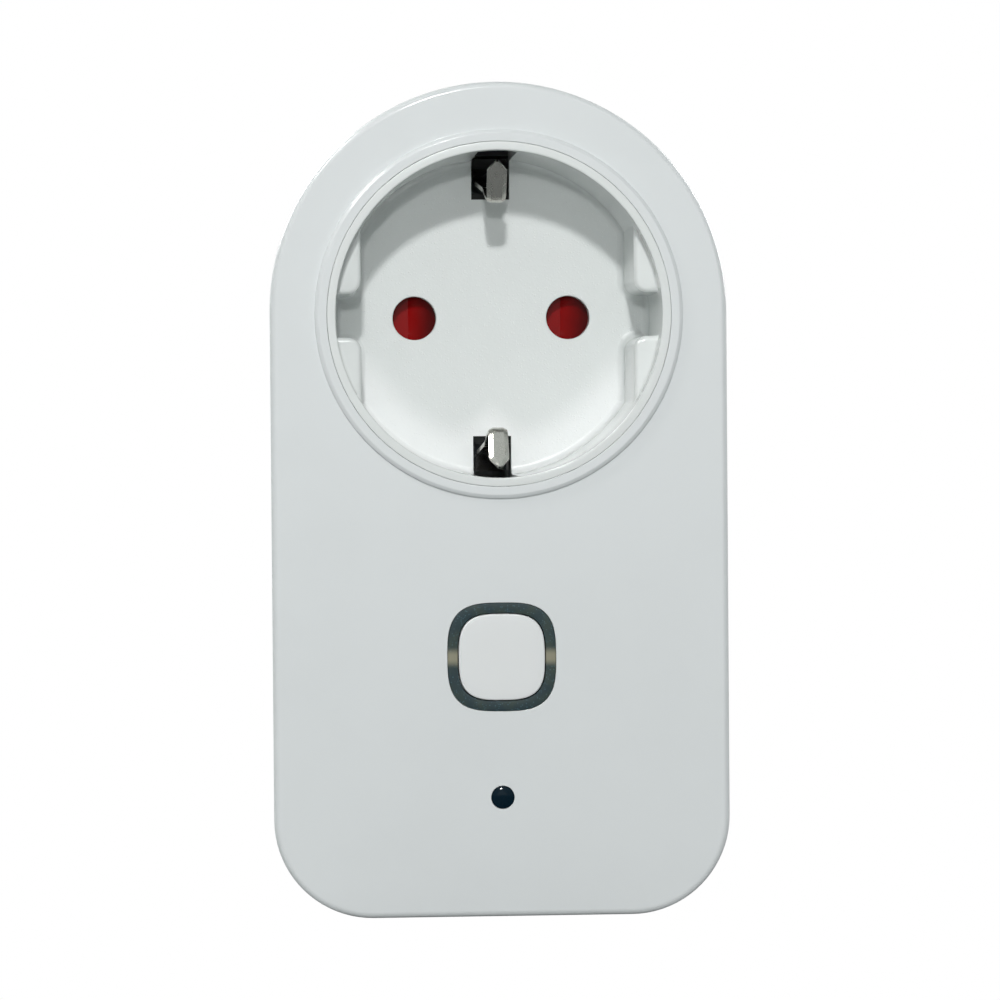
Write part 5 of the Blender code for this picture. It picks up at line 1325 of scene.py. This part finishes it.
def dress_kept_nodes():
    for finish, names in kept_finishes().items():
        for name in names:
            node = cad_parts[name]
            if not node.material_slots:
                node.data.materials.append(finish)
            for holder in node.material_slots:
                holder.link = "OBJECT"
                holder.material = finish


# Stage


STUDIO_REACH = 1.5
WHITE = (1.0, 1.0, 1.0, 1.0)


def by_ray(tree, ray, chosen, other):
    """Mixes two shaders: one for one kind of ray, one for all other light."""
    path = add_node(tree, "ShaderNodeLightPath").outputs[ray]
    return add_node(tree, "ShaderNodeMixShader", {0: path, 1: other, 2: chosen}).outputs[0]


def shader_of(tree, kind, colour, strength=None):
    links = {0: colour} if strength is None else {0: colour, 1: strength}
    return add_node(tree, kind, links).outputs[0]


def finish_stage(tree, output, seen, unseen):
    """What the lens sees directly, and what lights and mirrors in the object."""
    result = by_ray(tree, "Is Camera Ray", seen, unseen)
    connect(tree, tree.nodes[output].inputs, {"Surface": result})


def build_floor():
    shape = bmesh.new()
    z = CASE_BOTTOM_Z - 0.02 * MM
    corners = ((-1, -1), (1, -1), (1, 1), (-1, 1))
    places = [(x * STUDIO_REACH, y * STUDIO_REACH, z) for x, y in corners]
    shape.faces.new([shape.verts.new(place) for place in places])
    floor = link_mesh("studio_floor", shape)
    made = bpy.data.materials.new("studio_floor")
    made.use_nodes = True
    tree = made.node_tree
    tree.nodes.remove(tree.nodes["Principled BSDF"])
    pale = shader_of(tree, "ShaderNodeBsdfDiffuse", (0.32, 0.33, 0.33, 1.0))
    dim = shader_of(tree, "ShaderNodeBsdfDiffuse", (0.20, 0.21, 0.21, 1.0))
    white = shader_of(tree, "ShaderNodeEmission", WHITE, 1.0)
    finish_stage(tree, "Material Output", white, by_ray(tree, "Is Glossy Ray", dim, pale))
    floor.data.materials.append(made)


def build_world(studio):
    """White where the lens sees it, soft light all round, and a paler card in reflections."""
    world = bpy.data.worlds.new("studio")
    bpy.context.scene.world = world
    world.use_nodes = True
    tree = world.node_tree
    tree.nodes.remove(tree.nodes["Background"])
    direction = add_node(tree, "ShaderNodeTexCoord").outputs["Generated"]
    _, along, rise = separate(tree, direction)
    share = remap(tree, rise, -0.7, 0.7)
    colour = blend_colours(tree, share, rgba(studio.ambient, 0.9), rgba(studio.ambient, 1.1))
    soft = shader_of(tree, "ShaderNodeBackground", colour, 1.0)
    room = remap(tree, rise, -0.95, 0.95, 0.24, 0.62)
    card = remap(tree, times(tree, along, -1.0), 0.955, 0.985, 0.0, 0.5)
    strength = calculate(tree, "ADD", room, card)
    mirrored = shader_of(tree, "ShaderNodeBackground", (0.92, 0.99, 0.98, 1.0), strength)
    white = shader_of(tree, "ShaderNodeBackground", WHITE, 1.0)
    finish_stage(tree, "World Output", white, by_ray(tree, "Is Glossy Ray", mirrored, soft))


def add_light(name, place, aim, size, power, colour=(1.0, 1.0, 1.0)):
    data = bpy.data.lights.new(name, "AREA")
    data.shape = "DISK"
    data.size = size
    data.energy = power
    data.color = colour
    light = bpy.data.objects.new(name, data)
    light.location = place
    light.rotation_euler = (Vector(aim) - Vector(place)).to_track_quat("-Z", "Y").to_euler()
    bpy.context.scene.collection.objects.link(light)
    return light


def build_lights(studio):
    aim, centre = (0.0, FRONT_Y, -0.02), (0.0, -0.02, -0.02)
    upper_left, warm = (-0.57, -0.33, 0.615), (1.0, 0.99, 0.96)
    add_light("key_light", (-0.063, -1.14, 0.44), aim, 0.07, studio.key)
    front = add_light("front_light", (-0.054, -0.98, 0.108), aim, 0.04, studio.front)
    front.visible_glossy = False
    add_light("side_light", upper_left, aim, 0.18, studio.side, warm)
    glint = add_light("glint_light", upper_left, aim, 0.25, studio.side * 5.0)
    glint.visible_diffuse = False
    add_light("back_light_left", (-0.7, 0.75, 0.55), centre, 0.6, studio.back)
    add_light("back_light_right", (0.8, 0.65, 0.35), centre, 0.6, studio.back * 0.7)


def build_camera():
    data = bpy.data.cameras.new("camera")
    data.lens = 135.5
    data.sensor_width = 36.0
    data.clip_start = 0.01
    camera = bpy.data.objects.new("camera", data)
    place = Vector((-0.0267, -0.501, -0.0123))
    aim = Vector((-0.00008, -0.053, -0.02215))
    turn_to = (aim - place).to_track_quat("-Z", "Y")
    roll = Quaternion((0.0, 0.0, 1.0), math.radians(CAMERA_ROLL))
    camera.location = place
    camera.rotation_euler = (turn_to @ roll).to_euler()
    bpy.context.scene.collection.objects.link(camera)
    bpy.context.scene.camera = camera


# Operators


class SMARTPLUG_OT_stage(bpy.types.Operator):
    """Add the floor, the studio light and the camera"""

    bl_idname = "smart_plug.stage"
    bl_label = "Stage"

    def execute(self, context):
        studio = context.scene.smart_plug.studio
        context.scene.view_settings.view_transform = "Standard"
        build_floor()
        build_world(studio)
        build_lights(studio)
        build_camera()
        return {"FINISHED"}


class SMARTPLUG_OT_front_cover(bpy.types.Operator):
    """Build the front cover with its raised collar"""

    bl_idname = "smart_plug.front_cover"
    bl_label = "Front cover"

    def execute(self, context):
        build_front_cover(context.scene.smart_plug)
        return {"FINISHED"}


class SMARTPLUG_OT_rear_housing(bpy.types.Operator):
    """Build the rear housing with the plug's round body"""

    bl_idname = "smart_plug.rear_housing"
    bl_label = "Rear housing"

    def execute(self, context):
        build_rear_housing(context.scene.smart_plug)
        return {"FINISHED"}


class SMARTPLUG_OT_socket_insert(bpy.types.Operator):
    """Build the outlet's recessed insert"""

    bl_idname = "smart_plug.socket_insert"
    bl_label = "Socket insert"

    def execute(self, context):
        build_socket_insert(context.scene.smart_plug)
        return {"FINISHED"}


class SMARTPLUG_OT_earth_clips(bpy.types.Operator):
    """Build the two sprung earth clips"""

    bl_idname = "smart_plug.earth_clips"
    bl_label = "Earth clips"

    def execute(self, context):
        settings = context.scene.smart_plug
        build_earth_clip(settings, "upper_clip_spring", 1, "upper_clip", "earth_clip_upper")
        build_earth_clip(settings, "lower_clip_spring", -1, "lower_clip", "earth_clip_lower")
        return {"FINISHED"}


class SMARTPLUG_OT_shutter(bpy.types.Operator):
    """Build the sliding safety shutter and its spring"""

    bl_idname = "smart_plug.shutter"
    bl_label = "Shutter"

    def execute(self, context):
        build_shutter(context.scene.smart_plug)
        build_shutter_spring()
        return {"FINISHED"}


class SMARTPLUG_OT_button(bpy.types.Operator):
    """Build the push button's cap and the smoked light ring round it"""

    bl_idname = "smart_plug.button"
    bl_label = "Button and light ring"

    def execute(self, context):
        build_light_ring(context.scene.smart_plug)
        build_button_cap(context.scene.smart_plug)
        return {"FINISHED"}


class SMARTPLUG_OT_indicator_lens(bpy.types.Operator):
    """Build the indicator's domed lens"""

    bl_idname = "smart_plug.indicator_lens"
    bl_label = "Indicator lens"

    def execute(self, context):
        build_lens(context.scene.smart_plug)
        return {"FINISHED"}


class SMARTPLUG_OT_plug_contacts(bpy.types.Operator):
    """Build the plug's two pins, two earth strips and earth socket"""

    bl_idname = "smart_plug.plug_contacts"
    bl_label = "Plug contacts"

    def execute(self, context):
        settings = context.scene.smart_plug
        for side, node in PIN_NODES:
            build_pin(settings, node + "_nickel", side, node)
        for side, node in ((1, "plug_earth_strip_upper"), (-1, "plug_earth_strip_lower")):
            build_earth_strip(settings, node + "_nickel", side, node)
        build_earth_sleeve()
        return {"FINISHED"}


class SMARTPLUG_OT_case_screws(bpy.types.Operator):
    """Build the four screws that hold the case shut"""

    bl_idname = "smart_plug.case_screws"
    bl_label = "Case screws"

    def execute(self, context):
        for number in range(1, 5):
            build_case_screw(number)
        return {"FINISHED"}


class SMARTPLUG_OT_inner_parts(bpy.types.Operator):
    """Give every part inside the case its finish"""

    bl_idname = "smart_plug.inner_parts"
    bl_label = "Inner parts"

    def execute(self, context):
        dress_kept_nodes()
        return {"FINISHED"}


OPERATORS = (
    SMARTPLUG_OT_stage,
    SMARTPLUG_OT_front_cover,
    SMARTPLUG_OT_rear_housing,
    SMARTPLUG_OT_socket_insert,
    SMARTPLUG_OT_earth_clips,
    SMARTPLUG_OT_shutter,
    SMARTPLUG_OT_button,
    SMARTPLUG_OT_indicator_lens,
    SMARTPLUG_OT_plug_contacts,
    SMARTPLUG_OT_case_screws,
    SMARTPLUG_OT_inner_parts,
)


class SMARTPLUG_PT_panel(bpy.types.Panel):
    """Lists the smart plug's pieces and settings"""

    bl_idname = "SMARTPLUG_PT_panel"
    bl_label = "Smart plug"
    bl_space_type = "VIEW_3D"
    bl_region_type = "UI"
    bl_category = "Smart plug"

    def draw(self, context):
        settings = context.scene.smart_plug
        for name in settings.__annotations__:
            group, box = getattr(settings, name), self.layout.box()
            for key in group.__annotations__:
                box.prop(group, key)
        for operator in OPERATORS:
            self.layout.operator(operator.bl_idname)


SETTINGS = (
    SmartPlugCase,
    SmartPlugOutlet,
    SmartPlugButton,
    SmartPlugPlug,
    SmartPlugStudio,
    SmartPlugSettings,
)
CLASSES = SETTINGS + OPERATORS + (SMARTPLUG_PT_panel,)


def register():
    for item in CLASSES:
        bpy.utils.register_class(item)
    bpy.types.Scene.smart_plug = bpy.props.PointerProperty(type=SmartPlugSettings)


def unregister():
    del bpy.types.Scene.smart_plug
    for item in reversed(CLASSES):
        bpy.utils.unregister_class(item)


def main():
    register()
    for operator in OPERATORS:
        group, name = operator.bl_idname.split(".")
        getattr(getattr(bpy.ops, group), name)()


if __name__ == "__main__":
    main()
